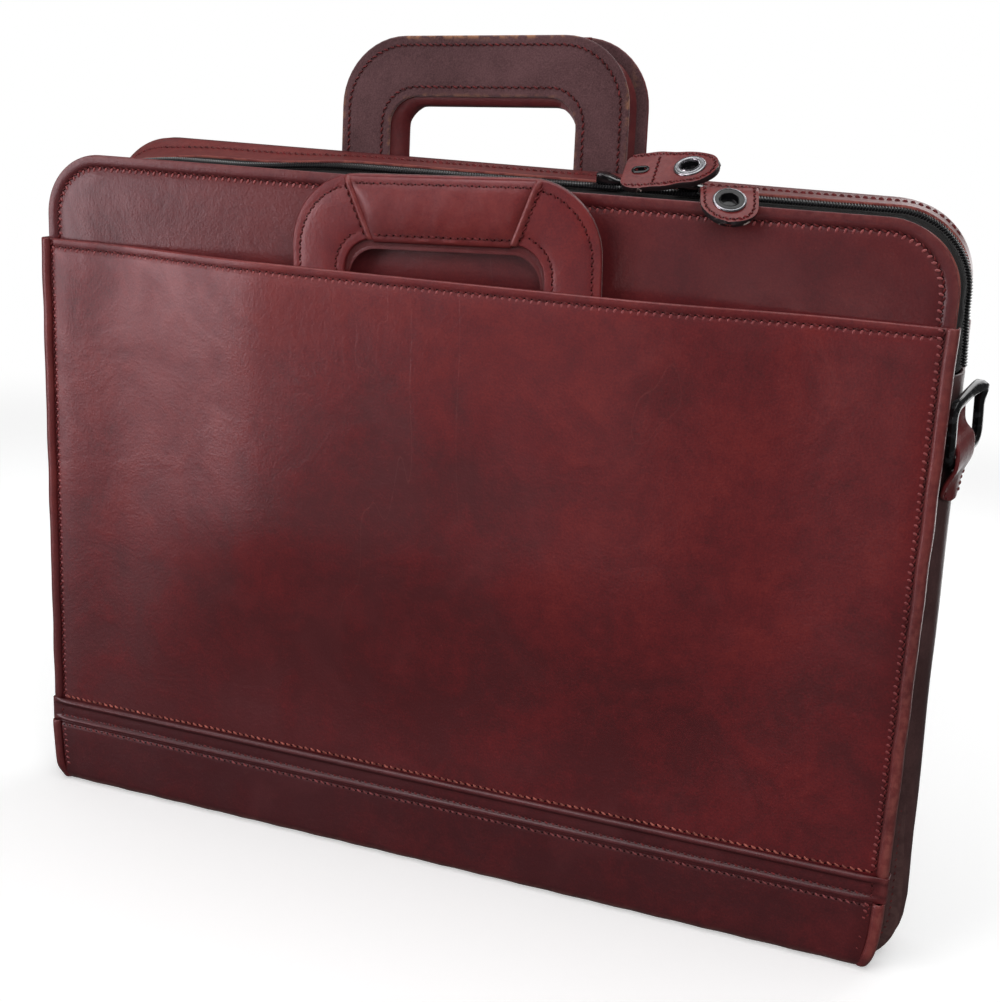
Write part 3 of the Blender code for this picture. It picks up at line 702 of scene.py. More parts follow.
class Palette:
    """Every finish of the case, built once."""

    def __init__(self) -> None:
        """Build the materials."""
        self.leather = Leather("burgundy_leather", (0.072, 0.0095, 0.0115),
                               (0.116, 0.0118, 0.0142), (0.165, 0.0185, 0.0180),
                               (0.150, 0.0260, 0.0290), (0.310, 0.0850, 0.0720)).build()
        self.dark = Leather("dark_leather", (0.055, 0.0088, 0.0110), (0.084, 0.0110, 0.0132),
                            (0.116, 0.0165, 0.0175), (0.120, 0.0260, 0.0290),
                            (0.260, 0.0850, 0.0750), roughness=0.34).build()
        self.edging = Leather("edge_leather", (0.078, 0.0120, 0.0140),
                              (0.125, 0.0190, 0.0200), (0.175, 0.0290, 0.0270),
                              (0.200, 0.0500, 0.0480), (0.340, 0.1050, 0.0850)).build()
        self.gusset = Leather("gusset_leather", (0.042, 0.0170, 0.0175),
                              (0.066, 0.0290, 0.0290), (0.090, 0.0400, 0.0390),
                              (0.120, 0.0680, 0.0660), (0.220, 0.1300, 0.1150),
                              roughness=0.48, grain=0.00002).build()
        self.suede = Suede("brushed_lining", (0.044, 0.0160, 0.0185),
                           (0.118, 0.0530, 0.0580)).build()
        self.raw_edge = CutEdge("raw_edge", (0.150, 0.0330, 0.0300), (0.300, 0.0880, 0.0720),
                                0.7).build()
        self.black_edge = CutEdge("painted_edge", (0.016, 0.0110, 0.0120),
                                  (0.620, 0.5200, 0.4800), 0.25).build()
        self.thread = Thread("dark_red_thread", (0.110, 0.0140, 0.0150)).build()
        self.salmon = Thread("salmon_thread", (0.300, 0.0850, 0.0640)).build()
        # painted highlight: a lighter, pinker thread for the base row, standing in for the sheen the
        # dark red thread catches
        self.rose = Thread("rose_thread", (0.190, 0.0480, 0.0500)).build()
        # painted highlight: a lighter leather for the folds beside each stitch, where they catch the
        # light
        self.pinch_highlight = Leather("pinched_leather_highlight", (0.150, 0.0270, 0.0290),
                             (0.210, 0.0420, 0.0430), (0.280, 0.0640, 0.0620),
                             (0.300, 0.1000, 0.0980), (0.400, 0.1400, 0.1200)).build()
        # painted shade: the near-black disc at each stitch's end stands for the shade in its hole
        self.hole = Shadow("stitch_hole_shade").build()
        self.tape = Tape("zipper_tape", (0.010, 0.0085, 0.0085)).build()
        self.coil = Enamel("black_coil", 0.30).build()
        self.enamel = Enamel("black_enamel", 0.13, (0.004, 0.004, 0.0045)).build()
        self.metal = Nickel("dark_snap").build()


# Stitches

@dataclass
class Needle:
    """Sews rows of stitches: one stitch is modelled, then copied along each row.

    A row runs so that the open leather lies on its left, seen from outside with its start at
    the left: there the leather stands up a little between two stitches, in a lighter leather as a
    painted highlight.
    """

    palette: Palette
    length: float = 0.0027
    width: float = 0.00086
    height: float = 0.00110
    slant: float = -26.0
    seed: int = 7

    def unit(self, thread: bpy.types.Material, pinched: bool) -> bpy.types.Object:
        """One stitch: an arched thread, a near-black disc of painted shade for the hole at its end,
        and a fold beside the hole in a lighter leather as painted highlight.
        """
        half_pitch = STITCH_PITCH / 2
        lean = math.radians(self.slant)
        stitch = bead("stitch_unit", thread, LYING_X)
        for vertex in stitch.data.vertices:
            x, y, z = vertex.co
            dip = (2.0 * x) ** 4 * 0.42
            vertex.co = (x * self.length, y * self.width, (z - dip) * self.height)
        stitch.data.transform(Matrix.Rotation(lean, 4, "Z"))
        deselect()
        # painted shade: a near-black disc where the hole's shade falls
        bpy.ops.mesh.primitive_circle_add(vertices=7, radius=self.width * 0.46,
                                          fill_type="NGON", location=(half_pitch, 0.0, 0.00012))
        bpy.ops.object.transform_apply(location=True, rotation=True, scale=True)
        hole = named("stitch_hole_unit")
        hole.data.materials.append(self.palette.hole)
        parts = [hole]
        if pinched:
            # the fold is finished in the lighter leather, a painted highlight
            fold = bead("stitch_fold_unit", self.palette.pinch_highlight, LYING_X)
            for vertex in fold.data.vertices:
                x, y, z = vertex.co
                vertex.co = (half_pitch + x * 0.0013 + y * 0.0006, 0.00115 + y * 0.0021,
                             0.00022 + z * 0.00058)
            parts.append(fold)
        hold(stitch)
        for part in parts:
            part.select_set(True)
        bpy.ops.object.join()
        return stitch

    def sew(self, name: str, rows: Sequence[Sequence[tuple[Vector, Vector]]],
            body: Body = Body.ROOT, lift: float = 0.00005, pitch: float = STITCH_PITCH,
            pinched: bool = True, thread: Optional[bpy.types.Material] = None
            ) -> bpy.types.Object:
        """Sew rows of stitches on a surface.

        Args:
            name: name of the piece.
            rows: each row's points in order, each with the way out of the surface.
            body: body that the stitches ride on.
            lift: how far the stitches are lifted off the surface.
            pitch: length of a stitch with its hole.
            pinched: whether the leather stands up beside the row, in a lighter leather as painted
                highlight.
            thread: finish of the thread, dark red unless given.

        Returns:
            The joined stitches.
        """
        chance = random.Random(self.seed)
        frames: list[Matrix] = []
        for row in rows:
            frames += self.row_frames(row, pitch, lift, chance)
        unit = self.unit(thread or self.palette.thread, pinched)
        piece = join_copies(name, unit, frames)
        drop(unit)
        return dress(piece, body, Slot.EDGE, (), ())

    @staticmethod
    def row_frames(row: Sequence[tuple[Vector, Vector]], pitch: float, lift: float,
                   chance: random.Random) -> list[Matrix]:
        """Frames of the stitches along one row, evenly spaced by its length."""
        reach = run_lengths([spot for spot, _ in row])
        count = max(2, round(reach[-1] / pitch))
        frames = []
        index = 0
        for k in range(count):
            index, share = find_stretch(reach, reach[-1] * (k + 0.5) / count, index)
            (a, out_a), (b, out_b) = row[index], row[index + 1]
            out = out_a.lerp(out_b, share).normalized()
            along = (b - a).normalized()
            side = out.cross(along).normalized()
            turn = Matrix((along, side, along.cross(side))).transposed().to_4x4()
            twist = Matrix.Rotation(math.radians(chance.uniform(-5.0, 5.0)), 4, "Z")
            spot = a.lerp(b, share) + out * (lift + chance.uniform(-0.00004, 0.00004))
            scale = Matrix.Diagonal((pitch / STITCH_PITCH, 1.0, chance.uniform(0.9, 1.1), 1.0))
            frames.append(Matrix.Translation(spot) @ turn @ twist @ scale)
        return frames


def level_row(place: Callable[[float], Vector], out: Vector, stations: Sequence[float]
              ) -> list[tuple[Vector, Vector]]:
    """A row of stitches through the places of its stations, on a surface facing one way."""
    return [(place(t), out) for t in stations]


# One leaf of the case

@dataclass(frozen=True)
class Leaf:
    """One side of the case: its outline, its lean, and the place of everything on it."""

    name: str
    height: float
    radius: float
    lean: float
    facing: int
    handle_x: float
    handle_top: float
    end_rise: float
    crown: float = 0.0010
    bulge: float = 0.0105
    bulge_half: float = 0.0765
    bulge_fade: float = 0.0880
    bulge_low: float = 0.0600
    bulge_full: float = 0.1550

    def matrix(self) -> Matrix:
        """Place of the leaf: its foot line, turned to face outwards and leaned."""
        turn = 0.0 if self.facing < 0 else math.pi
        place = Matrix.Translation((0.0, STAND_Y + self.facing * BASE_HALF_DEPTH, 0.0))
        return place @ Matrix.Rotation(turn, 4, "Z") @ Matrix.Rotation(self.lean, 4, "X")

    def out(self) -> Vector:
        """Way out of the leaf's outer face."""
        return (self.matrix().to_3x3() @ Vector((0.0, -1.0, 0.0))).normalized()

    def raised(self, x: float, s: float) -> float:
        """Height on the leaf, with the small rise towards one top corner."""
        return s + self.end_rise * (x / CASE_HALF) * (s / self.height)

    def point(self, x: float, s: float, depth: float) -> Vector:
        """World point of a place on the leaf."""
        return self.matrix() @ Vector((x, -depth, self.raised(x, s)))

    def edge(self, x: float, s: float) -> tuple[float, float]:
        """Distance in from the panel's outline, and distance run along it from the foot."""
        side = abs(x) - (PANEL_HALF - self.radius)
        top = s - (self.height - self.radius)
        straight = self.height - self.radius
        if side > 0.0 and top > 0.0:
            return self.radius - math.hypot(side, top), straight + self.radius * math.atan2(top, side)
        if PANEL_HALF - abs(x) < self.height - s:
            return PANEL_HALF - abs(x), s
        return self.height - s, straight + self.radius * math.pi / 2 - side

    def stand_out(self, x: float, s: float) -> float:
        """How far the pocket stands out over the handle that hangs in it."""
        side = 1.0 - ease(self.bulge_half, self.bulge_half + self.bulge_fade,
                          abs(x - self.handle_x))
        return self.bulge * side * ease(self.bulge_low, self.bulge_full, s)


def foot_half(s: float, half: float) -> float:
    """Half width of the base near the ground, where its lower corners are drawn in."""
    taper = 0.0020 * min(1.0, max(0.0, 1.0 - s / 0.030))
    turn = min(1.0, max(0.0, 1.0 - s / 0.014))
    return half - taper - 0.0040 * (1.0 - math.sqrt(max(0.0, 1.0 - turn ** 2)))


@dataclass
class LeafDressing:
    """Panel, pocket, band, base and bindings of one leaf, with their seams."""

    leaf: Leaf
    palette: Palette
    needle: Needle
    bead: float = 0.0006
    groove: float = 0.00045
    mouth_seam: float = 0.0037
    side_seam: float = 0.0033
    base_row: float = 0.0296
    row_half: float = 0.1935
    fold_seam: float = 0.1945
    cell: float = 0.0060
    band_relief: tuple[tuple[float, float], ...] = (
        # height above the band's foot, relief
        (-0.0003, -0.0008), (0.0000, 0.0003), (0.0005, 0.0011), (0.0012, 0.0014),
        (0.0018, 0.0009), (0.0022, 0.0000), (0.0028, -0.0003), (0.0045, -0.0001),
        (0.0068, -0.0002), (0.0083, -0.0003), (0.0088, 0.0004), (0.0093, 0.0012),
        (0.0100, 0.0014), (0.0106, 0.0008), (0.0110, -0.0004))

    def build(self) -> None:
        """Make every piece of the leaf."""
        self.panel()
        self.pocket()
        self.band()
        self.base()
        for side, end in ((-1, "left"), (1, "right")):
            self.binding(side, end)
            self.base_binding(side, end)
        self.seams()

    def panel_depth(self, x: float, s: float) -> float:
        """Depth of the middle of the panel's wall, with its bead and groove at the rim."""
        distance, _ = self.leaf.edge(x, s)
        bead = math.sqrt(max(0.0, 1.0 - ((distance - 0.0020) / 0.0030) ** 2)) * self.bead
        crown = self.leaf.crown * (1.0 - (x / PANEL_HALF) ** 4)
        crown *= math.sqrt(max(0.0, math.sin(math.pi * min(1.0, s / self.leaf.height))))
        puff = 0.0007 * ease(SEAM_INSET, 0.0120, distance) * (1.0 - ease(0.02, 0.05, distance))
        return crown + bead + puff - self.groove * hump(distance - SEAM_INSET, 0.0010)

    def panel(self) -> None:
        """Panel: a plate with round corners, inset in steps at the rim and cut into cells."""
        leaf = self.leaf
        deselect()
        tall = leaf.height - PANEL_FOOT
        middle = PANEL_FOOT + tall / 2
        bpy.ops.mesh.primitive_plane_add(size=1.0, location=(0.0, middle, 0.0))
        piece = named(leaf.name + "_panel_leather")
        piece.scale = (2 * PANEL_HALF, tall, 1.0)
        bpy.ops.object.transform_apply(location=True, rotation=True, scale=True)
        for radius, top in ((leaf.radius, True), (FOOT_RADIUS, False)):
            self.round_corners(piece, radius, middle, top)
        edit(piece)
        last = 0.0
        for distance in (0.0005, 0.0012, 0.0023, 0.0034, 0.0043, 0.0050, 0.0057, 0.0068,
                         0.0088, 0.0116):
            bpy.ops.mesh.inset(thickness=distance - last, depth=0.0, use_even_offset=True)
            last = distance
        inside = PANEL_HALF - last
        for x in spread(-inside, inside, 30)[1:-1]:
            self.cut(piece, (x, 0.0, 0.0), (1.0, 0.0, 0.0))
        for s in spread(PANEL_FOOT + last, leaf.height - last, 22)[1:-1]:
            self.cut(piece, (0.0, s, 0.0), (0.0, 1.0, 0.0))
        deselect()
        for vertex in piece.data.vertices:
            x, s, _ = vertex.co
            vertex.co = leaf.point(x, s, self.panel_depth(x, s))
        give_wall(piece, PANEL_WALL)
        self.mark(piece, self.panel_marks)
        dress(piece, Body.ROOT, Slot.LEATHER, (leaf.name + "_panel",), (self.palette.dark,))

    @staticmethod
    def round_corners(piece: bpy.types.Object, radius: float, middle: float, top: bool) -> None:
        """Round the two upper or the two lower corners of a flat plate."""
        edit(piece, "DESELECT")
        bpy.ops.object.mode_set(mode="OBJECT")
        for vertex in piece.data.vertices:
            sharp = abs(abs(vertex.co.x) - PANEL_HALF) < 1e-6
            vertex.select = sharp and (vertex.co.y > middle) == top
        bpy.ops.object.mode_set(mode="EDIT")
        bpy.ops.mesh.select_mode(type="VERT")
        bpy.ops.mesh.bevel(offset=radius, segments=18, affect="VERTICES", clamp_overlap=False)
        bpy.ops.mesh.select_mode(type="FACE")
        deselect()

    @staticmethod
    def cut(piece: bpy.types.Object, spot: Colour, way: Colour) -> None:
        """Cut the innermost faces of a plate by a plane, and keep them selected."""
        bpy.ops.mesh.bisect(plane_co=spot, plane_no=way, use_fill=False)
        bpy.ops.object.mode_set(mode="OBJECT")
        for face in piece.data.polygons:
            face.select = face.area > 3e-5
        bpy.ops.object.mode_set(mode="EDIT")

    def panel_marks(self, spot: Vector) -> tuple[float, float]:
        """Wear with a painted highlight at the rim's edge, and nearness to the seam, at a place on the
        panel.
        """
        distance, _ = self.leaf.edge(spot.x, spot.z)
        # partly real wear and partly painted highlight: the outermost rim edge is lightened as the
        # light line it catches
        wear = 0.30 * hump(distance - 0.0006, 0.0008)
        return wear, self.seam_nearness(distance - SEAM_INSET)

    @staticmethod
    def seam_nearness(distance: float) -> float:
        """1 in the seam, fading within a millimetre on both sides; the leather there is darkened as
        painted shade.
        """
        return hump(distance, 0.0009)

    def mark(self, piece: bpy.types.Object,
             marks: Callable[[Vector], tuple[float, float]]) -> None:
        """Paint wear and seam on a piece by its place on the leaf."""
        back = self.leaf.matrix().inverted()
        values = []
        for vertex in piece.data.vertices:
            x, y, z = back @ vertex.co
            values.append(marks(Vector((x, -y, z))))
        for name, column in zip(("wear", "seam"), zip(*values)):
            layer = piece.data.attributes.new(name, "FLOAT", "POINT")
            layer.data.foreach_set("value", column)

    def pocket_depth(self, x: float, s: float) -> float:
        """Depth of the middle of the pocket's wall, with its seams, puffs and slow waves."""
        side = PANEL_HALF - abs(x)
        top = POCKET_MOUTH - s
        depth = POCKET_DEPTH + self.leaf.stand_out(x, s)
        depth += 0.0006 * ease(0.0030, 0.0120, side) * ease(0.0, 0.0100, top)
        depth -= self.groove * hump(top - self.mouth_seam, 0.0010)
        depth -= self.groove * hump(side - self.side_seam, 0.0012)
        waves = math.sin(41.0 * x + 1.1) * math.sin(29.0 * s + 0.4)
        waves += 0.6 * math.sin(83.0 * x - 31.0 * s) * math.sin(17.0 * s + 23.0 * x)
        return depth + 0.00035 * waves * ease(0.01, 0.06, side) * ease(0.0, 0.05, top)

    def pocket(self) -> None:
        """Pocket: a sheet with closer rows at its seams, standing out over the handle."""
        leaf = self.leaf
        near = [0.0, 0.0018, 0.0027, 0.0033, 0.0039, 0.0046, 0.0056, 0.0072, 0.0100, 0.0135, 0.0180]
        half = PANEL_HALF
        field = spread(near[-1] - half, half - near[-1], round(2 * (half - near[-1]) / self.cell))
        columns = [d - half for d in near[:-1]] + field + [half - d for d in reversed(near[:-1])]
        lips = [0.0, 0.0007, 0.0016, 0.0026, 0.0032, 0.0037, 0.0042, 0.0050, 0.0066, 0.0090, 0.0130]
        low = POCKET_FOOT
        body = spread(low, POCKET_MOUTH - lips[-1], round((POCKET_MOUTH - low) / self.cell))
        rows = body + [POCKET_MOUTH - d for d in reversed(lips[:-1])]
        piece = grid(leaf.name + "_pocket_leather", columns, rows,
                     lambda x, s: leaf.point(x, s, self.pocket_depth(x, s)))
        give_wall(piece, POCKET_WALL + 0.0003)
        self.mark(piece, self.pocket_marks)
        dress(piece, Body.ROOT, Slot.LEATHER, (leaf.name + "_pocket",), (self.palette.leather,))

    def pocket_marks(self, spot: Vector) -> tuple[float, float]:
        """Wear and nearness to a seam at a place on the pocket."""
        side = PANEL_HALF - abs(spot.x)
        top = POCKET_MOUTH - spot.z
        seam = max(self.seam_nearness(top - self.mouth_seam),
                   self.seam_nearness(side - self.side_seam),
                   self.seam_nearness(spot.z - BAND_TOP - 0.0003))
        return 0.26 * hump(top, 0.0009), seam

    def edge_path(self, face: float) -> list[tuple[float, float]]:
        """Way of a binding: out of the groove, over the edge and round behind the panel."""
        end = CASE_HALF
        return [(end - 0.0043, face - 0.0003), (end - 0.0040, face + 0.0004),
                (end - 0.0034, face + 0.0009), (end - 0.0026, face + 0.0011),
                (end - 0.0014, face + 0.0009), (end - 0.0005, face + 0.0000),
                (end - 0.0003, face - 0.0012), (end - 0.0004, face * 0.4),
                (end - 0.0004, 0.0), (end - 0.0008, -0.0009)]

    def on_right(self, side: int) -> bool:
        """Whether a side of the leaf lies on the case's right, where its edges wear most."""
        return side * -self.leaf.facing > 0

    def finish_roll(self, piece: bpy.types.Object,
                    marks: Callable[[Vector], tuple[float, float]], node: str) -> None:
        """Give a rolled edge its wall, its wear and its finish."""
        give_wall(piece, BINDING_WALL, 0.4, 1)
        self.mark(piece, marks)
        dress(piece, Body.ROOT, Slot.EDGE, (node,), (self.palette.edging,))

    def binding(self, side: int, end: str) -> None:
        """Rolled edge down one side of the pocket."""
        leaf = self.leaf
        path = self.edge_path(POCKET_DEPTH + POCKET_WALL / 2 + 0.0002)

        def place(index: float, s: float) -> Vector:
            x, depth = path[int(index)]
            sway = 0.00022 * math.sin(210.0 * s) * math.sin(37.0 * s + side)
            return leaf.point(side * (x + sway), s, depth)

        heights = spread(BAND_TOP - 0.0006, POCKET_MOUTH - 0.001, 40) + [POCKET_MOUTH + 0.0002]
        piece = grid(leaf.name + "_binding_roll_" + end, range(len(path)), heights, place)

        def marks(spot: Vector) -> tuple[float, float]:
            crest = hump(CASE_HALF - abs(spot.x) - 0.0012, 0.0022)
            low = 1.0 - ease(0.05, 0.24, spot.z)
            return crest * ((0.20 + 0.26 * low) if self.on_right(side) else 0.12), 0.0

        self.finish_roll(piece, marks, leaf.name + "_binding_" + end)

    def base_binding(self, side: int, end: str) -> None:
        """Rolled edge down one side of the base, curving in with its round lower corner."""
        leaf = self.leaf
        path = self.edge_path(BASE_DEPTH + POCKET_WALL / 2 + 0.0001)

        def place(index: float, s: float) -> Vector:
            x, depth = path[int(index)]
            drawn = foot_half(s, 0.0)
            back = 0.0030 * (1.0 - ease(0.0, 0.0090, s))
            flare = 0.0006 * math.sin(90.0 * s) ** 2 if self.on_right(side) else 0.0
            return leaf.point(side * (x + drawn + flare), s, depth - back)

        heights = spread(0.0012, 0.0120, 10) + spread(0.0120, BASE_TOP + 0.0003, 6)[1:]
        piece = grid(leaf.name + "_base_binding_roll_" + end, range(len(path)), heights, place)
        worn = 0.36 if self.on_right(side) else 0.14
        self.finish_roll(piece, lambda p: (hump(CASE_HALF - abs(p.x) - 0.001, 0.003) * worn, 0.0),
                         leaf.name + "_base_binding_" + end)

    def band(self) -> None:
        """Band over the pocket's foot: two rolled ridges, folded round both side edges."""
        leaf = self.leaf
        depth = BAND_DEPTH + 0.0004
        corner = 0.0014
        end = CASE_HALF + 0.0004
        turn = [(end - corner + corner * math.cos(a), depth - corner + corner * math.sin(a), a)
                for a in spread(math.pi / 2, 0.0, 4)]
        side = turn + [(end, depth * t, 0.0) for t in (0.45, 0.1, -0.15)]
        field = [(x, depth, math.pi / 2) for x in spread(0.0, end - corner - 0.001, 34)]
        right = field + [(end - corner - 0.0005, depth, math.pi / 2)] + side
        path = [(-x, d, math.pi - a) for x, d, a in reversed(right)] + right[1:]

        def place(index: float, row: float) -> Vector:
            x, d, a = path[int(index)]
            rise, relief = self.band_relief[int(row)]
            crease = 0.00012 * math.sin(640.0 * x) * math.sin(57.0 * x) * hump(rise - 0.0055, 0.003)
            beside = ease(self.row_half, self.row_half + 0.0017, abs(x))
            out = lerp(relief + crease, -0.0002, beside)
            return leaf.point(x + math.cos(a) * out, BAND_FOOT + rise, d + math.sin(a) * out)

        piece = grid(leaf.name + "_band_leather", range(len(path)),
                     range(len(self.band_relief)), place)
        give_wall(piece, 0.0011, 0.3, 1)

        def marks(spot: Vector) -> tuple[float, float]:
            rise = spot.z - BAND_FOOT
            ridge = max(hump(rise - 0.0010, 0.0008), hump(rise - 0.0097, 0.0008))
            seam = max(self.seam_nearness(rise - 0.0027), self.seam_nearness(rise - 0.0084),
                       self.seam_nearness(abs(spot.x) - self.fold_seam))
            return 0.05 * ridge + 0.22 * ease(0.196, 0.200, abs(spot.x)), seam

        self.mark(piece, marks)
        dress(piece, Body.ROOT, Slot.LEATHER, (leaf.name + "_band",), (self.palette.dark,))

    def base_rows(self) -> list[tuple[float, float]]:
        """Depths and heights down the base, rolled under to lie on the ground."""
        roll = 0.0050
        centre = BASE_DEPTH - roll
        lean = self.leaf.lean

        def ground(depth: float) -> float:
            return (POCKET_WALL / 2 + depth * math.sin(lean)) / math.cos(lean)

        top = [BASE_TOP + 0.0004, 0.0308, 0.0303, 0.0298, 0.0292, 0.0280, 0.0250, 0.0200, 0.0150,
               0.0110]
        rows = [(BASE_DEPTH - self.groove * hump(s - 0.0303, 0.0007), s) for s in top]
        rows += arc((centre, ground(centre) + roll), roll, 0, -90, 8)
        return rows + [(d, ground(d)) for d in (0.0, -0.0018, -0.0035)]

    def base(self) -> None:
        """Base panel: down the leaf, rolled under, with round lower corners."""
        leaf = self.leaf
        rows = self.base_rows()
        half = CASE_HALF - BINDING_WALL - 0.0014
        columns = [-1.0, -0.993, *spread(-0.985, 0.985, 60), 0.993, 1.0]

        def place(share: float, row: float) -> Vector:
            depth, s = rows[int(row)]
            wave = 0.00025 * math.sin(60.0 * share + 3.0 * s) * ease(0.03, 0.015, s)
            sink = 0.0006 * ease(0.985, 1.0, abs(share))
            return leaf.point(share * foot_half(s, half), s, depth + wave - sink)

        piece = grid(leaf.name + "_base_leather", columns, range(len(rows)), place)
        give_wall(piece, POCKET_WALL)

        def marks(spot: Vector) -> tuple[float, float]:
            low = hump(spot.z - 0.0022, 0.0014) * ease(0.000, 0.003, spot.y)
            side = foot_half(spot.z, 0.1948) - abs(spot.x)
            return 0.36 * low, max(self.seam_nearness(0.0300 - spot.z), self.seam_nearness(side))

        self.mark(piece, marks)
        dress(piece, Body.ROOT, Slot.LEATHER, (leaf.name + "_base",), (self.palette.dark,))

    def rim_row(self, depth: Callable[[float, float], float], low: float, turned: bool
                ) -> list[tuple[Vector, Vector]]:
        """Row of stitches up one side, over the top and down the other side of the panel."""
        leaf = self.leaf
        radius = leaf.radius - SEAM_INSET
        x = PANEL_HALF - SEAM_INSET
        top = leaf.height - SEAM_INSET
        side = [(x, s) for s in spread(low, top - radius, 8)]
        turn = arc((x - radius, top - radius), radius, 0, 90, 16)
        flat = [(t, top) for t in spread(x - radius, radius - x, 30)][1:-1]
        points = side + turn[1:] + flat + [(-a, b) for a, b in reversed(side + turn[1:])]
        out = leaf.out()
        if turned:
            out = -out
            points.reverse()
        return [(leaf.point(a, b, depth(a, b)), out) for a, b in points]

    def seams(self) -> None:
        """Every row of stitches on the leaf."""
        leaf = self.leaf
        out = leaf.out()
        face = PANEL_WALL / 2
        pocket_face = POCKET_WALL / 2 + 0.00015
        base_face = BASE_DEPTH - self.groove + POCKET_WALL / 2
        band_face = BAND_DEPTH + 0.00055
        wide = spread(-self.row_half, self.row_half, 60)
        mouth = POCKET_MOUTH - self.mouth_seam
        foot = BAND_TOP + 0.0014
        rows = [self.rim_row(lambda x, s: self.panel_depth(x, s) + face + 0.00025,
                             POCKET_MOUTH - 0.004, False),
                self.rim_row(lambda x, s: self.panel_depth(x, s) - face, leaf.height - 0.075,
                             True)]
        rows.append(level_row(lambda x: leaf.point(-x, mouth, self.pocket_depth(-x, mouth)
                                                   + pocket_face), out, wide))
        base_row = level_row(lambda x: leaf.point(-x, self.base_row, base_face), out, wide)
        for side in (-1, 1):
            x = side * (PANEL_HALF - self.side_seam)
            heights = spread(BAND_TOP + 0.001, POCKET_MOUTH - 0.001, 30)
            rows.append(level_row(lambda s, x=x: leaf.point(x, s, self.pocket_depth(x, s)
                                                            + pocket_face), out,
                                  heights if side > 0 else heights[::-1]))
            low = spread(0.0040, 0.0300, 10)
            rows.append(level_row(lambda s, side=side: leaf.point(
                side * foot_half(s, 0.1944), s, base_face - 0.0030 * (1.0 - ease(0.0, 0.0090, s))),
                out, low if side > 0 else low[::-1]))
        self.needle.sew(leaf.name + "_seams", rows, lift=0.00010)
        rows = [level_row(lambda x: leaf.point(-x, BAND_FOOT + 0.0027, band_face), out, wide)]
        for side in (-1, 1):
            heights = spread(BAND_FOOT + 0.001, BAND_TOP - 0.001, 4)
            rows.append(level_row(lambda s, side=side: leaf.point(side * self.fold_seam, s, band_face),
                                  out, heights if side > 0 else heights[::-1]))
        self.needle.sew(leaf.name + "_band_seams", rows, lift=0.00012, pinched=False)
        row = level_row(lambda x: leaf.point(x, foot, self.pocket_depth(x, foot) + pocket_face),
                        out, wide)
        self.needle.sew(leaf.name + "_foot_seam", [row], lift=0.00020, pinched=False,
                        thread=self.palette.salmon)
        # the base row is sewn with the lighter thread, a painted highlight
        self.needle.sew(leaf.name + "_base_seam", [base_row], lift=0.00035, pinched=False,
                        thread=self.palette.rose)


# Gusset ring

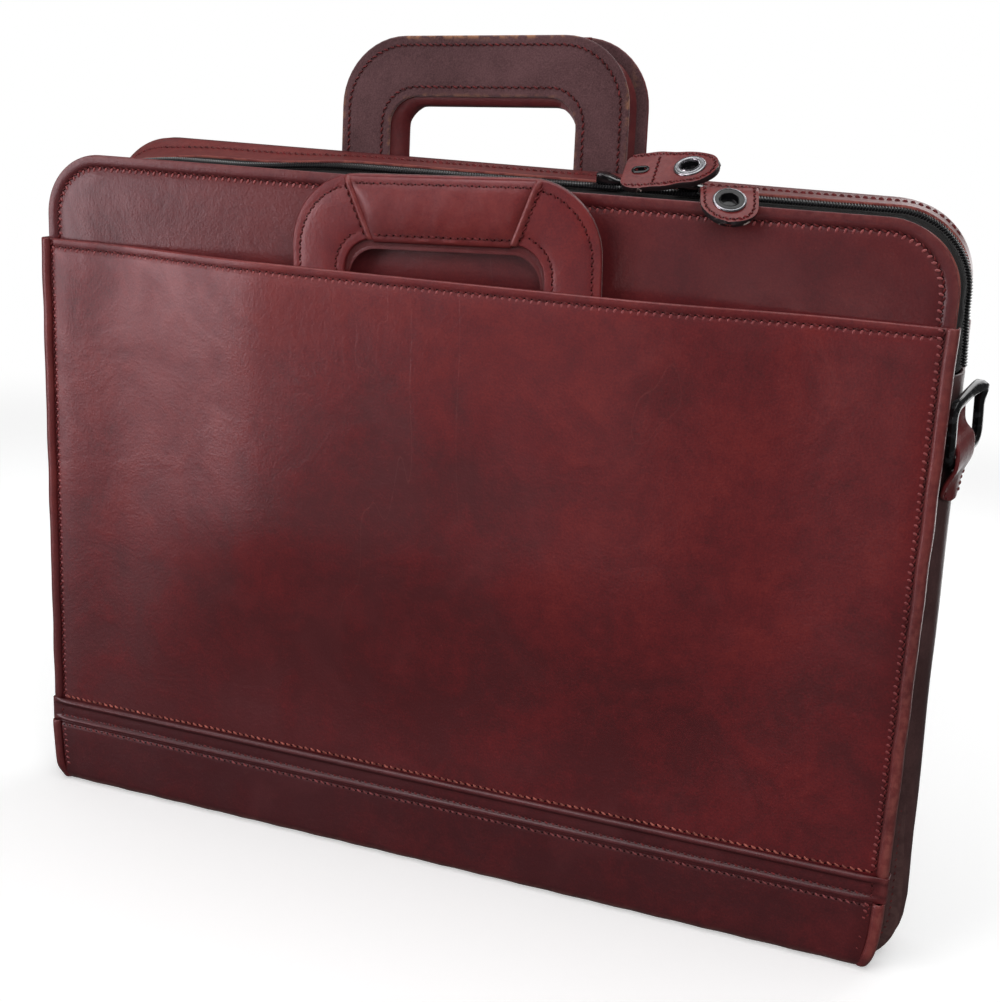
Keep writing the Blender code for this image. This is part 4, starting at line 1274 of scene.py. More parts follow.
@dataclass
class GussetRing:
    """The ring between the two leaves, as a way round and a share from front to back."""

    front: Leaf
    back: Leaf
    inset: float = 0.0025
    drop: float = 0.0018
    foot: float = 0.0032
    corner: float = 0.0160
    standoff: float = 0.0020
    zip_end: float = 2.885
    fold_place: float = 0.20
    fold_width: float = 0.14
    fold_share: float = 0.90
    side_bulge: tuple[tuple[float, float], ...] = (
        # height, bulge of the gusset at mid depth
        (0.000, 0.0010), (0.008, 0.0066), (0.025, 0.0090), (0.060, 0.0080), (0.130, 0.0062),
        (0.200, 0.0050), (0.245, 0.0036), (0.275, 0.0018), (0.310, 0.0006))

    def outline(self, leaf: Leaf, u: float) -> tuple[float, float, float, float]:
        """Place and outward direction on the ring's edge at one leaf.

        Args:
            leaf: the leaf.
            u: stretch of the way round: 0 foot, 1 corner, 2 right side, 3 corner, 4 top, 5
                corner, 6 left side, 7 corner, 8 foot.

        Returns:
            x, height, and the outward direction's x and z.
        """
        half = CASE_HALF - self.inset
        top = leaf.height - self.drop
        round_top = leaf.radius - self.inset
        corner, foot = self.corner, self.foot
        stretch = min(8, int(u))
        t = u - stretch
        mirror = 1.0
        if stretch > 4 or (stretch == 4 and t > 0.5):
            stretch, t, mirror = 8 - stretch, 1.0 - t, -1.0
        if stretch == 0:
            x, s, nx, nz = lerp(0.0, half - corner, t), foot, 0.0, -1.0
        elif stretch == 1:
            turn = math.radians(lerp(-90.0, 0.0, t))
            nx, nz = math.cos(turn), math.sin(turn)
            x, s = half - corner + corner * nx, foot + corner + corner * nz
        elif stretch == 2:
            x, nx, nz = half, 1.0, 0.0
            s = lerp(foot + corner, top - round_top, t)
        elif stretch == 3:
            turn = math.radians(lerp(0.0, 90.0, t))
            nx, nz = math.cos(turn), math.sin(turn)
            x, s = half - round_top + round_top * nx, top - round_top + round_top * nz
        else:
            x, s, nx, nz = lerp(half - round_top, round_top - half, t), top, 0.0, 1.0
        return mirror * x, s, mirror * nx, nz

    def bulge(self, s: float, t: float, fold: float) -> float:
        """How far the ring stands out at a height, less the folded crease near the front."""
        out = read_table(self.side_bulge, s) * math.sin(math.pi * min(1.0, max(0.0, t))) ** 0.7
        return out * (1.0 - fold * hump(t - self.fold_place, self.fold_width))

    def point(self, u: float, t: float, out: float, fold: float = 0.0) -> Vector:
        """Point on the ring: share t of the way from the front leaf to the back leaf."""
        x, s, nx, nz = self.outline(self.front, u)
        front = self.front.point(x, s, -self.standoff)
        back_x, back_s = self.outline(self.back, u)[:2]
        back = self.back.point(-back_x, back_s, -self.standoff)
        return front.lerp(back, t) + Vector((nx, 0.0, nz)) * (out + self.bulge(s, t, fold))

    def way_out(self, u: float, t: float) -> Vector:
        """Way out of the ring's outer face."""
        along = self.point(min(8.98, u + 0.01), t, 0.0) - self.point(max(0.02, u - 0.01), t, 0.0)
        across = self.point(u, min(1.0, t + 0.05), 0.0) - self.point(u, max(0.0, t - 0.05), 0.0)
        _, _, nx, nz = self.outline(self.front, u)
        out = along.cross(across).normalized()
        return out if out.dot(Vector((nx, 0.0, nz))) > 0.0 else -out

    def stations(self, start: float, stop: float, fine: int = 3) -> list[float]:
        """Stations along the ring between start and stop, closer together on the corners."""
        steps = {0: 6, 1: 5, 2: 14, 3: 7, 4: 22, 5: 7, 6: 14, 7: 5, 8: 6}
        stations = [start]
        for stretch, count in steps.items():
            for i in range(count * fine):
                u = stretch + i / (count * fine)
                if start + 0.01 < u < stop - 0.01:
                    stations.append(u)
        return stations + [stop]

    def side_face(self, y: float, z: float) -> float:
        """Distance of the gusset's outer face from the middle of the case, on an end."""
        front_y = self.front.point(0.0, z, -self.standoff).y
        back_y = self.back.point(0.0, z, -self.standoff).y
        bulge = self.bulge(z, (y - front_y) / (back_y - front_y), self.fold_share)
        return CASE_HALF - self.inset + bulge + 0.0009

    def top(self, x: float, t: float, out: float) -> Vector:
        """Point over the straight top of the ring at x."""
        reach = CASE_HALF - (self.front.radius + self.back.radius) / 2
        return self.point(4.0 + (reach - x) / (2 * reach), t, out)


@dataclass
class GussetDressing:
    """Gusset, with its folded crease, its stitched flange and the layers at both rims."""

    ring: GussetRing
    palette: Palette
    needle: Needle
    wall: float = 0.0018

    def build(self) -> None:
        """Make the gusset, its flange and the leather layers along both rims."""
        self.gusset()
        self.flanges()
        self.layers()

    def lower(self) -> list[float]:
        """Stations of the gusset's way, from its right end along the foot to its left end."""
        ring = self.ring
        right = ring.stations(0.0, ring.zip_end - 0.005, 2)
        left = ring.stations(9.0 - ring.zip_end + 0.005, 8.98, 2)
        return list(reversed(right)) + list(reversed(left))

    def marks(self, piece: bpy.types.Object, wear: float) -> None:
        """Paint a little wear low down on a piece of the gusset."""
        paint(piece, lambda p: wear * (0.4 + 0.6 * hump(p.z, 0.05)), 0.0)

    def gusset(self) -> None:
        """Gusset: down one end, along the foot and up the other, with a folded crease."""
        ring = self.ring
        across = [-0.02, 0.04, 0.09, 0.13, 0.17, 0.20, 0.23, 0.27, 0.32, 0.38, 0.46, 0.56, 0.66,
                  0.76, 0.85, 0.92, 0.97, 1.02]
        piece = grid("gusset_leather", self.lower(), across,
                     lambda u, t: ring.point(u, t, 0.0, ring.fold_share))
        turn_faces(piece, Vector((0.0, 0.0, -1.0)))
        give_wall(piece, self.wall)
        self.marks(piece, 0.10)
        dress(piece, Body.ROOT, Slot.GUSSET, ("gusset",), (self.palette.gusset,))

    def flanges(self) -> None:
        """Stitched flange that stands out of the crease at the foot of each end."""
        ring = self.ring
        for side, end in ((1, "right"), (-1, "left")):
            stations = spread(1.05, 1.95, 14) + spread(2.0, 2.32, 12)
            if side < 0:
                stations = [9.0 - u for u in stations]

            def place(u: float, t: float, side: int = side) -> Vector:
                run = u if side > 0 else 9.0 - u
                rise = 0.0036 * ease(1.02, 1.5, run) * (1.0 - ease(2.00, 2.32, run))
                up = hump(t - 0.310, 0.022)
                return ring.point(u, t, rise * up - 0.0004, ring.fold_share)

            piece = grid("gusset_flange_" + end, stations, spread(0.260, 0.360, 10), place)
            turn_faces(piece, Vector((side, 0.0, 0.0)))
            give_wall(piece, 0.0010, 0.4)
            self.marks(piece, 0.25)
            dress(piece, Body.ROOT, Slot.EDGE, (), (self.palette.gusset,))
            row = [(place(u, 0.285) + Vector((side * 0.0006, 0.0, 0.0)),
                    Vector((side, -0.7, 0.0)).normalized()) for u in stations[:-3]]
            self.needle.sew("gusset_flange_seam_" + end, [row], lift=0.00015, pinched=False)

    def layers(self) -> None:
        """Edges of the leather layers that lie between each panel and the ring."""
        ring = self.ring
        stations = ring.stations(0.02, 8.98, 2)
        for name, leaf, other, tone in (("front", ring.front, 1.0, self.palette.edging),
                                        ("back", ring.back, -1.0, self.palette.raw_edge)):
            for index, (depth, low, high) in enumerate(((-0.0015, -0.0045, 0.0008),
                                                        (-0.0024, -0.0040, 0.0001))):
                def place(u: float, out: float, leaf: Leaf = leaf, other: float = other,
                          depth: float = depth) -> Vector:
                    x, s, nx, nz = ring.outline(leaf, u)
                    wave = 0.00012 * math.sin(97.0 * u)
                    return leaf.point(other * (x + nx * (out + wave)), s + nz * out, depth)

                piece = grid(f"{name}_rim_layer_{index + 1}", stations, spread(low, high, 3),
                             place)
                turn_faces(piece, -leaf.out())
                give_wall(piece, 0.0008, 0.35)
                self.marks(piece, 0.5)
                material = tone if index == 0 else self.palette.gusset
                dress(piece, Body.ROOT, Slot.EDGE, (), (material,))


# Zipper

@dataclass
class ZipperDressing:
    """Leather strips, woven tape, coil and sliders over the top and down both ends."""

    ring: GussetRing
    palette: Palette
    needle: Needle
    strip_edge: float = 0.33
    tape_edge: float = 0.070
    tooth_pitch: float = 0.00115
    slider_stations: tuple[float, float] = (0.0570, 0.0905)
    slider_long: float = 0.0110
    slider_wide: float = 0.0088
    coil_share: float = 0.29
    coil_level: float = 0.0014
    coil_half: float = 0.0014
    seam_share: float = 0.90

    def build(self) -> None:
        """Make the strips, the tape, the coil and the sliders."""
        self.strips()
        self.tape()
        self.coil()
        for end, x in zip(("left", "right"), self.slider_stations):
            self.slider(end, x)

    def sink(self, u: float, t: float) -> float:
        """How far the zipper sags between the leaves, most at the left of the top."""
        x, s, _, _ = self.ring.outline(self.ring.front, u)
        left = 0.0034 * (1.0 - ease(-0.115, -0.060, x)) * ease(0.240, 0.285, s)
        left += 0.0040 * (1.0 - ease(-0.185, -0.140, x)) * ease(0.200, 0.255, s)
        front = 0.0016 * hump(t - 0.08, 0.08) * ease(0.200, 0.270, s)
        return left * math.sin(math.pi * min(1.0, max(0.0, t))) ** 0.6 + front

    def strips(self) -> None:
        """Leather strip on each side of the zipper, with a raw cut edge and a seam."""
        ring = self.ring
        stations = ring.stations(ring.zip_end, 9.0 - ring.zip_end)
        edge = self.strip_edge
        for name, shares in (("front", [-0.03, 0.0, 0.02, 0.04, 0.06, 0.08, 0.095, 0.11]),
                             ("back", [1.03, 0.97, 0.90, 0.82, 0.76, 0.72, 0.69, 1 - edge])):
            def place(u: float, t: float) -> Vector:
                from_leaf = min(t, 1.0 - t)
                turn_up = 0.0007 * (1.0 - ease(-0.03, 0.10, from_leaf))
                return ring.point(u, t, turn_up - self.sink(u, t))

            piece = grid(f"zip_{name}_leather", stations, shares, place)
            turn_faces(piece, Vector((0.0, 0.0, 1.0)))
            piece.data.materials.append(self.palette.edging)
            piece.data.materials.append(self.palette.raw_edge)
            give_wall(piece, 0.0012, 0.22, rim_slot=1)
            paint(piece, 0.10, 0.0)
            dress(piece, Body.ROOT, Slot.EDGE, ("zip_strip_" + name,), ())
        stations = ring.stations(3.42, 5.90, 2)
        share = self.seam_share
        row = [(ring.point(u, share, 0.0009 - self.sink(u, share)), ring.way_out(u, share))
               for u in reversed(stations)]
        self.needle.sew("zip_seam", [row], lift=0.00012, pinched=False)

    def tape(self) -> None:
        """Woven tape under the coil, dipping in its middle."""
        ring = self.ring
        shares = spread(self.tape_edge, 1.0 - self.strip_edge + 0.04, 8)

        def place(u: float, t: float) -> Vector:
            return ring.point(u, t, -0.0010 - self.sink(u, t))

        piece = grid("zipper_tape_weave", ring.stations(ring.zip_end, 9.0 - ring.zip_end, 2),
                     shares, place)
        turn_faces(piece, Vector((0.0, 0.0, 1.0)))
        give_wall(piece, 0.0010, 0.3)
        dress(piece, Body.ROOT, Slot.TAPE, ("zipper_tape",), (self.palette.tape,))

    def tooth(self) -> bpy.types.Object:
        """One turn of the coil: a short rounded bar that leans forwards."""
        unit = bead("tooth_unit", self.palette.coil, LYING_Y, 7)
        for vertex in unit.data.vertices:
            x, y, z = vertex.co
            vertex.co = (x * 0.00090 + y * 0.0006, y * 0.0036, z * 0.0021)
        return unit

    def coil(self) -> None:
        """Closed coil: two rows of turns that mesh along the whole way."""
        ring = self.ring
        fine = ring.stations(ring.zip_end + 0.01, 8.99 - ring.zip_end, 3)
        spots = [ring.point(u, self.coil_share, self.coil_level - self.sink(u, self.coil_share))
                 for u in fine]
        reach = run_lengths(spots)
        frames = []
        index = 0
        for k in range(int(reach[-1] / self.tooth_pitch)):
            index, share = find_stretch(reach, k * self.tooth_pitch, index)
            u = lerp(fine[index], fine[index + 1], share)
            out = ring.way_out(u, 0.25)
            along = (spots[index + 1] - spots[index]).normalized()
            across = out.cross(along).normalized()
            for side, shift in ((-1.0, 0.0), (1.0, 0.5)):
                spot = spots[index].lerp(spots[index + 1], share)
                spot = spot + across * side * self.coil_half + along * shift * self.tooth_pitch
                turn = Matrix((along, across * side, out)).transposed().to_4x4()
                frames.append(Matrix.Translation(spot) @ turn)
        unit = self.tooth()
        piece = join_copies("zipper_coil", unit, frames)
        drop(unit)
        edit(piece)
        bpy.ops.mesh.normals_make_consistent(inside=False)
        deselect()
        dress(piece, Body.ROOT, Slot.ENAMEL, ("zipper_chain",), ())

    def slider(self, end: str, x: float) -> None:
        """Slider: a bevelled plate over the coil, and a wedge on top that holds the pull."""
        long, wide = self.slider_long, self.slider_wide
        across = self.ring.top(x, 0.44, 0.0) - self.ring.top(x, 0.28, 0.0)
        tilt = math.atan2(across.z, across.y)
        seat = Matrix.Translation(self.ring.top(x, 0.36, 0.0004)) @ Matrix.Rotation(tilt, 4, "X")
        parts = []
        for low, high, share in ((0.0002, 0.0018, 1.0), (0.0020, 0.0062, 0.80)):
            deselect()
            bpy.ops.mesh.primitive_cube_add(size=1.0)
            part = named("zip_slider_body_" + end)
            edit(part)
            for cut_x in (-0.25, 0.05, 0.3):
                bpy.ops.mesh.select_all(action="SELECT")
                bpy.ops.mesh.bisect(plane_co=(cut_x, 0, 0), plane_no=(1, 0, 0))
            deselect()
            for vertex in part.data.vertices:
                x, y, z = vertex.co
                taper = 1.0 - 0.34 * ease(0.1, 0.5, abs(x))
                top = lerp(high, low + 0.0016, ease(-0.35, 0.5, x))
                vertex.co = (x * long * (0.9 + 0.1 * share), y * wide * share * taper,
                             lerp(low, top, z + 0.5))
            round_edges(part, 0.0005, 3)
            apply_all(part)
            parts.append(part)
        body = parts[0]
        hold(body)
        parts[1].select_set(True)
        bpy.ops.object.join()
        body.data.transform(seat)
        paint(body, 0.15)
        dress(body, Body.ROOT, Slot.ENAMEL, ("zip_slider_" + end,), (self.palette.enamel,))


# Pull tabs

@dataclass
class PullTab:
    """One leather pull: two glued layers with painted edges, an eyelet and a snap."""

    name: str
    head: tuple[float, float, float]
    heading: float
    bank: float
    pitch: float
    bend_at: float
    bend: float
    dark_snap: bool
    palette: Palette
    needle: Needle
    length: float = 0.0385
    half: float = 0.0109
    wall: float = 0.0026
    snap_place: float = 0.0270
    slot_place: float = 0.0070
    head_round: float = 0.0050
    seam_inside: float = 0.0016
    cross_seam: float = 0.0135

    def seat(self) -> Matrix:
        """Frame at the head of the tab: x along it, z out of its face."""
        turn = Matrix.Rotation(math.radians(self.heading), 4, "Z")
        turn = turn @ Matrix.Rotation(math.radians(-self.pitch), 4, "Y")
        turn = turn @ Matrix.Rotation(math.radians(self.bank), 4, "X")
        return Matrix.Translation(self.head) @ turn

    def half_width(self, run: float) -> float:
        """Half width along the tab: a soft square head and a full round end."""
        head = self.head_round
        if run < head:
            return self.half - head + math.sqrt(head ** 2 - (head - run) ** 2)
        tail = run - (self.length - self.half)
        if tail > 0.0:
            return math.sqrt(max(1e-9, self.half ** 2 - tail ** 2))
        return self.half

    def line(self, run: float) -> tuple[float, float, float]:
        """Middle line of the tab, rounded at its bend: x, z and the angle turned."""
        total = math.radians(self.bend)
        steps = 24
        x = z = 0.0
        for i in range(steps):
            middle = run * (i + 0.5) / steps
            angle = total * ease(self.bend_at - 0.004, self.bend_at + 0.004, middle)
            x += run / steps * math.cos(angle)
            z -= run / steps * math.sin(angle)
        return x, z, total * ease(self.bend_at - 0.004, self.bend_at + 0.004, run)

    def point(self, run: float, side: float, out: float = 0.0) -> Vector:
        """World point on the tab, side metres from its middle line and out of its face."""
        x, z, angle = self.line(run)
        sag = 0.0007 * math.sin(run * 140.0) * (side / self.half)
        return self.seat() @ Vector((x + math.sin(angle) * out, side,
                                     z + math.cos(angle) * out + sag))

    def build(self) -> None:
        """Make the tab, its eyelet, its snap, its seam and the arm to the slider."""
        tail = self.length - self.half
        along = [0.00005, 0.0006, 0.0016, 0.0030, 0.0050, *spread(0.0070, tail, 12)]
        along += [tail + self.half * math.sin(math.radians(a)) for a in spread(8, 86, 12)]
        shares = [-1.0, -0.93, -0.82, -0.72, *spread(-0.6, 0.6, 8), 0.72, 0.82, 0.93, 1.0]
        layers = []
        for level in (-1.0, 1.0):
            def place(run: float, v: float, level: float = level) -> Vector:
                side = v * (self.half_width(run) - 0.00025 * (1.0 - level))
                wave = 0.00018 * math.sin(run * 520.0 + level) * v ** 4
                return self.point(run, side, level * (0.00068 + wave))

            layer = grid(self.name + "_leather", along, shares, place)
            turn_faces(layer, self.seat().to_3x3() @ Vector((0.0, 0.0, 1.0)))
            layer.data.materials.append(self.palette.leather)
            layer.data.materials.append(self.palette.black_edge)
            give_wall(layer, 0.0012, 0.30, rim_slot=1)
            layers.append(layer)
        tab = layers[1]
        hold(tab)
        layers[0].select_set(True)
        bpy.ops.object.join()
        self.punch(tab, self.snap_frame(), 0.0044, 1.0)
        self.punch(tab, self.slot_frame(), 0.0013, 2.0)
        paint(tab, 0.16, 0.0)
        dress(tab, Body.ROOT, Slot.LEATHER, (self.name + "_tab",), ())
        self.snap()
        self.eyelet()
        self.seam()

    def snap_frame(self) -> Matrix:
        """Frame of the snap on the tab's face."""
        x, z, angle = self.line(self.snap_place)
        return self.seat() @ Matrix.Translation((x, 0.0, z)) @ Matrix.Rotation(angle, 4, "Y")

    def slot_frame(self) -> Matrix:
        """Frame of the eyelet slot on the tab's face."""
        return self.seat() @ Matrix.Translation((self.slot_place, 0.0, 0.0))

    @staticmethod
    def punch(tab: bpy.types.Object, place: Matrix, radius: float, stretch: float) -> None:
        """Punch a round or long hole through the tab."""
        deselect()
        bpy.ops.mesh.primitive_cylinder_add(vertices=28, radius=radius, depth=0.02)
        cutter = named("punch")
        for vertex in cutter.data.vertices:
            vertex.co.x *= stretch
        cutter.data.transform(place)
        boolean = tab.modifiers.new("hole", "BOOLEAN")
        boolean.operation = "DIFFERENCE"
        boolean.solver = "EXACT"
        boolean.object = cutter
        apply_all(tab)
        drop(cutter)

    def turned(self, name: str, profile: Sequence[tuple[float, float]], place: Matrix,
               stretch: float = 1.0) -> bpy.types.Object:
        """A ring turned from a closed profile of radius and height."""
        deselect()
        bpy.ops.mesh.primitive_grid_add(x_subdivisions=40, y_subdivisions=len(profile), size=2.0)
        piece = named(name)
        for vertex in piece.data.vertices:
            turn = (vertex.co.x + 1.0) * math.pi
            row = round((vertex.co.y + 1.0) / 2.0 * len(profile)) % len(profile)
            radius, z = profile[row]
            vertex.co = (radius * math.cos(turn) + (stretch - 1.0) * 0.0013
                         * max(-1.0, min(1.0, 3.0 * math.cos(turn))), radius * math.sin(turn), z)
        piece.data.transform(place)
        merge(piece, 0.000005)
        return piece

    def snap(self) -> None:
        """Snap socket: a metal rim, a domed ring and a dark hollow middle."""
        face = self.wall / 2
        profile = [(0.0040, -face), (0.0043, -face), (0.0043, face), (0.0060, face + 0.0001),
                   (0.0064, face + 0.0004), (0.0062, face + 0.0008), (0.0057, face + 0.0009),
                   (0.0053, face + 0.0008), (0.0045, face + 0.0008), (0.0040, face + 0.0009)]
        piece = self.turned(self.name + "_snap_ring", profile, self.snap_frame())
        dress(piece, Body.ROOT, Slot.SNAP, (self.name + "_snap",), (self.palette.metal,))
        low, high = (0.0035, 0.0056) if self.dark_snap else (0.0035, 0.0042)
        profile = [(low, face), (high, face + 0.0006), (high, face + 0.0010),
                   (lerp(low, high, 0.5), face + 0.0013), (low, face + 0.0008)]
        piece = self.turned(self.name + "_snap_face", profile, self.snap_frame())
        finish = self.palette.enamel if self.dark_snap else self.palette.metal
        dress(piece, Body.ROOT, Slot.SNAP, (), (finish,))
        cup = [(0.0001, -0.0004), (0.0001, -face), (0.0042, -face), (0.0042, face + 0.0002),
               (0.0034, face + 0.0002), (0.0030, -0.0002)]
        piece = self.turned(self.name + "_snap_cup", cup, self.snap_frame())
        dress(piece, Body.ROOT, Slot.ENAMEL, (), (self.palette.enamel,))

    def eyelet(self) -> None:
        """Black eyelet round the slot, and the bent arm that runs from it to the slider."""
        face = self.wall / 2
        profile = [(0.0010, -face), (0.0013, -face), (0.0013, face), (0.0022, face + 0.0001),
                   (0.0023, face + 0.0004), (0.0018, face + 0.0007), (0.0012, face + 0.0005)]
        piece = self.turned(self.name + "_eyelet", profile, self.slot_frame(), 2.0)
        dress(piece, Body.ROOT, Slot.ENAMEL, (), (self.palette.enamel,))
        path = [(0.0066, -0.0012), (0.0050, -0.0020), (0.0020, -0.0024), (-0.0012, -0.0026),
                (-0.0034, -0.0030), (-0.0046, -0.0036)]
        seat = self.seat()
        arm = grid(self.name + "_arm", range(len(path)), [-1.0, 0.0, 1.0],
                   lambda i, v: seat @ Vector((path[int(i)][0], v * 0.0011, path[int(i)][1])))
        give_wall(arm, 0.0010, 0.45, 1)
        paint(arm, 0.2)
        dress(arm, Body.ROOT, Slot.ENAMEL, (), (self.palette.enamel,))

    def seam(self) -> None:
        """Seam round the tab's edge, and one straight across it."""
        inside = self.seam_inside
        out = self.wall / 2
        tail = self.length - self.half
        side = [(run, self.half - inside) for run in spread(inside, tail, 12)]
        end = [(tail + (self.half - inside) * math.cos(math.radians(a)),
                (self.half - inside) * math.sin(math.radians(a))) for a in spread(90, -90, 20)]
        points = side + end[1:-1] + [(run, -y) for run, y in reversed(side)]
        rows = [[(self.point(run, y, out), self.up(run)) for run, y in points],
                [(self.point(self.cross_seam, y, out), self.up(self.cross_seam))
                 for y in spread(-0.008, 0.008, 4)]]
        self.needle.sew(self.name + "_seam", [row[::-1] for row in rows], lift=0.00012,
                        pitch=SMALL_PITCH, pinched=False)

    def up(self, run: float) -> Vector:
        """Way out of the tab's face."""
        return (self.point(run, 0.0, 0.001) - self.point(run, 0.0)).normalized()


# Handles

@dataclass
class HandleDressing:
    """One drop handle: suede lining, leather face, and a padded grip with slanted seams."""

    leaf: Leaf
    palette: Palette
    needle: Needle
    half: float = 0.0670
    tall: float = 0.1400
    bar: float = 0.0260
    leg: float = 0.0235
    corner: float = 0.0300
    window_corner: float = 0.0130
    tilt: float = math.radians(2.5)
    lining_depth: float = 0.0043
    face_depth: float = 0.0122
    grip_half: float = 0.0410
    grip_slant: float = 0.0130
    grip_tall: float = 0.0315
    seam_share: float = 0.155
    seam_foot: float = -0.1060
    grip_foot: float = -0.0264
    grip_margin: float = 0.0040
    shift: float = 0.0
    grip_section: tuple[tuple[float, float], ...] = (
        # depth, height below the handle's top
        (0.0132, -0.0272), (0.0143, -0.0260), (0.0141, -0.0240), (0.0149, -0.0222),
        (0.0157, -0.0175), (0.0160, -0.0125), (0.0156, -0.0078), (0.0148, -0.0048),
        (0.0141, -0.0036), (0.0139, -0.0022), (0.0130, -0.0006), (0.0112, 0.0001),
        (0.0098, -0.0004), (0.0098, -0.0024), (0.0098, -0.0120), (0.0098, -0.0230),
        (0.0100, -0.0262), (0.0108, -0.0270), (0.0120, -0.0274))

    def body(self) -> Body:
        """Body that this handle rides on."""
        return Body.FRONT_HANDLE if self.leaf.name == "front" else Body.BACK_HANDLE

    def seat(self) -> Matrix:
        """Handle's own frame: x from its middle, z up from its top edge."""
        place = Matrix.Translation((self.leaf.handle_x, 0.0, self.leaf.handle_top))
        turn = Matrix.Rotation(self.tilt * self.leaf.facing, 4, "Y")
        return self.leaf.matrix() @ place @ turn

    def point(self, x: float, z: float, depth: float) -> Vector:
        """World point of a place on the handle; its outer layers may sit to one side."""
        outer = ease(self.lining_depth, self.face_depth, depth)
        return self.seat() @ Vector((x + self.shift * outer, -depth, z))

    def loops(self) -> tuple[list[tuple[float, float]], list[tuple[float, float]]]:
        """Outer outline and window outline, with as many points."""
        window = self.half - self.leg
        outer = box_loop(self.half, -self.tall, 0.0, self.corner, 12, 14)
        inner = box_loop(window, self.leg - self.tall, -self.bar, self.window_corner, 12, 14)
        return outer, inner

    def build(self) -> None:
        """Make the lining, the core, the face and the grip."""
        if self.leaf.name == "front":
            self.lining_depth = 0.0086
            self.shift = 0.0010
        else:
            self.shift = -0.0062
        self.layer("lining", self.lining_depth, self.palette.suede, Slot.LINING, 0.0)
        self.core()
        self.layer("face", self.face_depth, self.palette.leather, Slot.LEATHER, 0.0004)
        self.grip()
        self.welts()
        self.seams()

    def relief(self, share: float, puff: float) -> float:
        """Relief across a layer: sunk at both seams and a little full between them."""
        sink = hump(share - self.seam_share, 0.035) + hump(1.0 - self.seam_share - share, 0.035)
        return puff * math.sin(math.pi * share) * 2.0 - 0.0003 * sink

    def layer(self, kind: str, depth: float, material: bpy.types.Material, slot: Slot,
              puff: float) -> None:
        """One flat frame of the handle, sewn near both edges."""
        outer, inner = self.loops()
        name = f"{self.leaf.name}_handle_{kind}"
        shares = [0.0, 0.03, 0.07, 0.115, 0.155, 0.195, 0.26, 0.38, 0.5, 0.62, 0.74, 0.805,
                  0.845, 0.885, 0.93, 0.97, 1.0]
        spots = [[(lerp(a[0], b[0], v), lerp(a[1], b[1], v)) for v in shares]
                 for a, b in zip(outer, inner)]
        sign = 1.0 if kind == "face" else -1.0
        piece = grid(name + "_sheet", range(len(outer)), range(len(shares)),
                     lambda i, j: self.point(*spots[int(i)][int(j)], depth + sign
                                             * self.relief(shares[int(j)], puff)))
        merge(piece)
        turn_faces(piece, self.leaf.out())
        piece.data.materials.append(material)
        piece.data.materials.append(self.palette.suede)
        give_wall(piece, 0.0016 + 0.0002, 0.42)
        for face in piece.data.polygons:
            if kind == "face" and face.normal.dot(self.leaf.out()) < -0.5:
                face.material_index = 1
        back = self.seat().inverted()

        def wear(spot: Vector) -> float:
            x, _, z = back @ spot
            edge = min(self.half - abs(x), -z)
            rub = hump(edge, 0.0012) * ease(-0.060, -0.012, z)
            window = max(0.0, 1.0 - abs(math.hypot(max(0.0, abs(x) - 0.0305),
                                                   max(0.0, z + 0.039)) - 0.0130) / 0.0012)
            if kind == "lining" and self.leaf.name == "back":
                return 0.9 * rub + 0.5 * window
            return 0.20 * rub

        paint(piece, wear, 0.0)
        dress(piece, self.body(), slot, (name,), ())

    def core(self) -> None:
        """Padding between the two layers, rolled over round the window."""
        low = self.lining_depth + 0.0012
        high = self.face_depth - 0.0010
        inset = 0.0048
        outer = box_loop(self.half - inset, inset - self.tall, -inset, self.corner - inset, 12, 14)
        window = self.half - self.leg - 0.0018
        inner = box_loop(window, self.leg - self.tall + 0.0018, -self.bar - 0.0040,
                         self.window_corner - 0.0010, 12, 14)
        section = [(0.0, high), (0.5, high), (0.86, high), (0.96, high - 0.0008),
                   (1.0, lerp(low, high, 0.5)), (0.96, low + 0.0008), (0.86, low), (0.5, low),
                   (0.0, low)]
        rows = list(range(len(section))) + [0]

        def place(index: float, row: float) -> Vector:
            (x0, z0), (x1, z1) = outer[int(index)], inner[int(index)]
            share, depth = section[int(row)]
            return self.point(lerp(x0, x1, share), lerp(z0, z1, share), depth)

        piece = grid(self.leaf.name + "_handle_core", range(len(outer)), rows, place)
        merge(piece)
        paint(piece, 0.08, 0.0)
        dress(piece, self.body(), Slot.LEATHER, (), (self.palette.dark,))

    def slanted(self, z: float) -> float:
        """Half length of the grip at a height, cut on a slant at both ends."""
        return self.grip_half - self.grip_slant * -z / self.grip_tall

    def grip(self) -> None:
        """Padded grip: a closed section run along the bar, sinking into its slanted seams."""
        section = self.grip_section
        rows = list(range(len(section))) + [0]
        shares = [-1.0, -0.985, -0.95, -0.88, *spread(-0.75, 0.75, 16), 0.88, 0.95, 0.985, 1.0]

        def place(share: float, row: float) -> Vector:
            depth, z = section[int(row)]
            sink = ease(0.90, 1.0, abs(share))
            front = ease(0.0125, 0.0145, depth)
            ripple = 0.00010 * math.sin(51.0 * share + 300.0 * z) * front
            depth = lerp(depth + ripple, min(depth, 0.0141), sink * front)
            return self.point(share * self.slanted(z), z, depth)

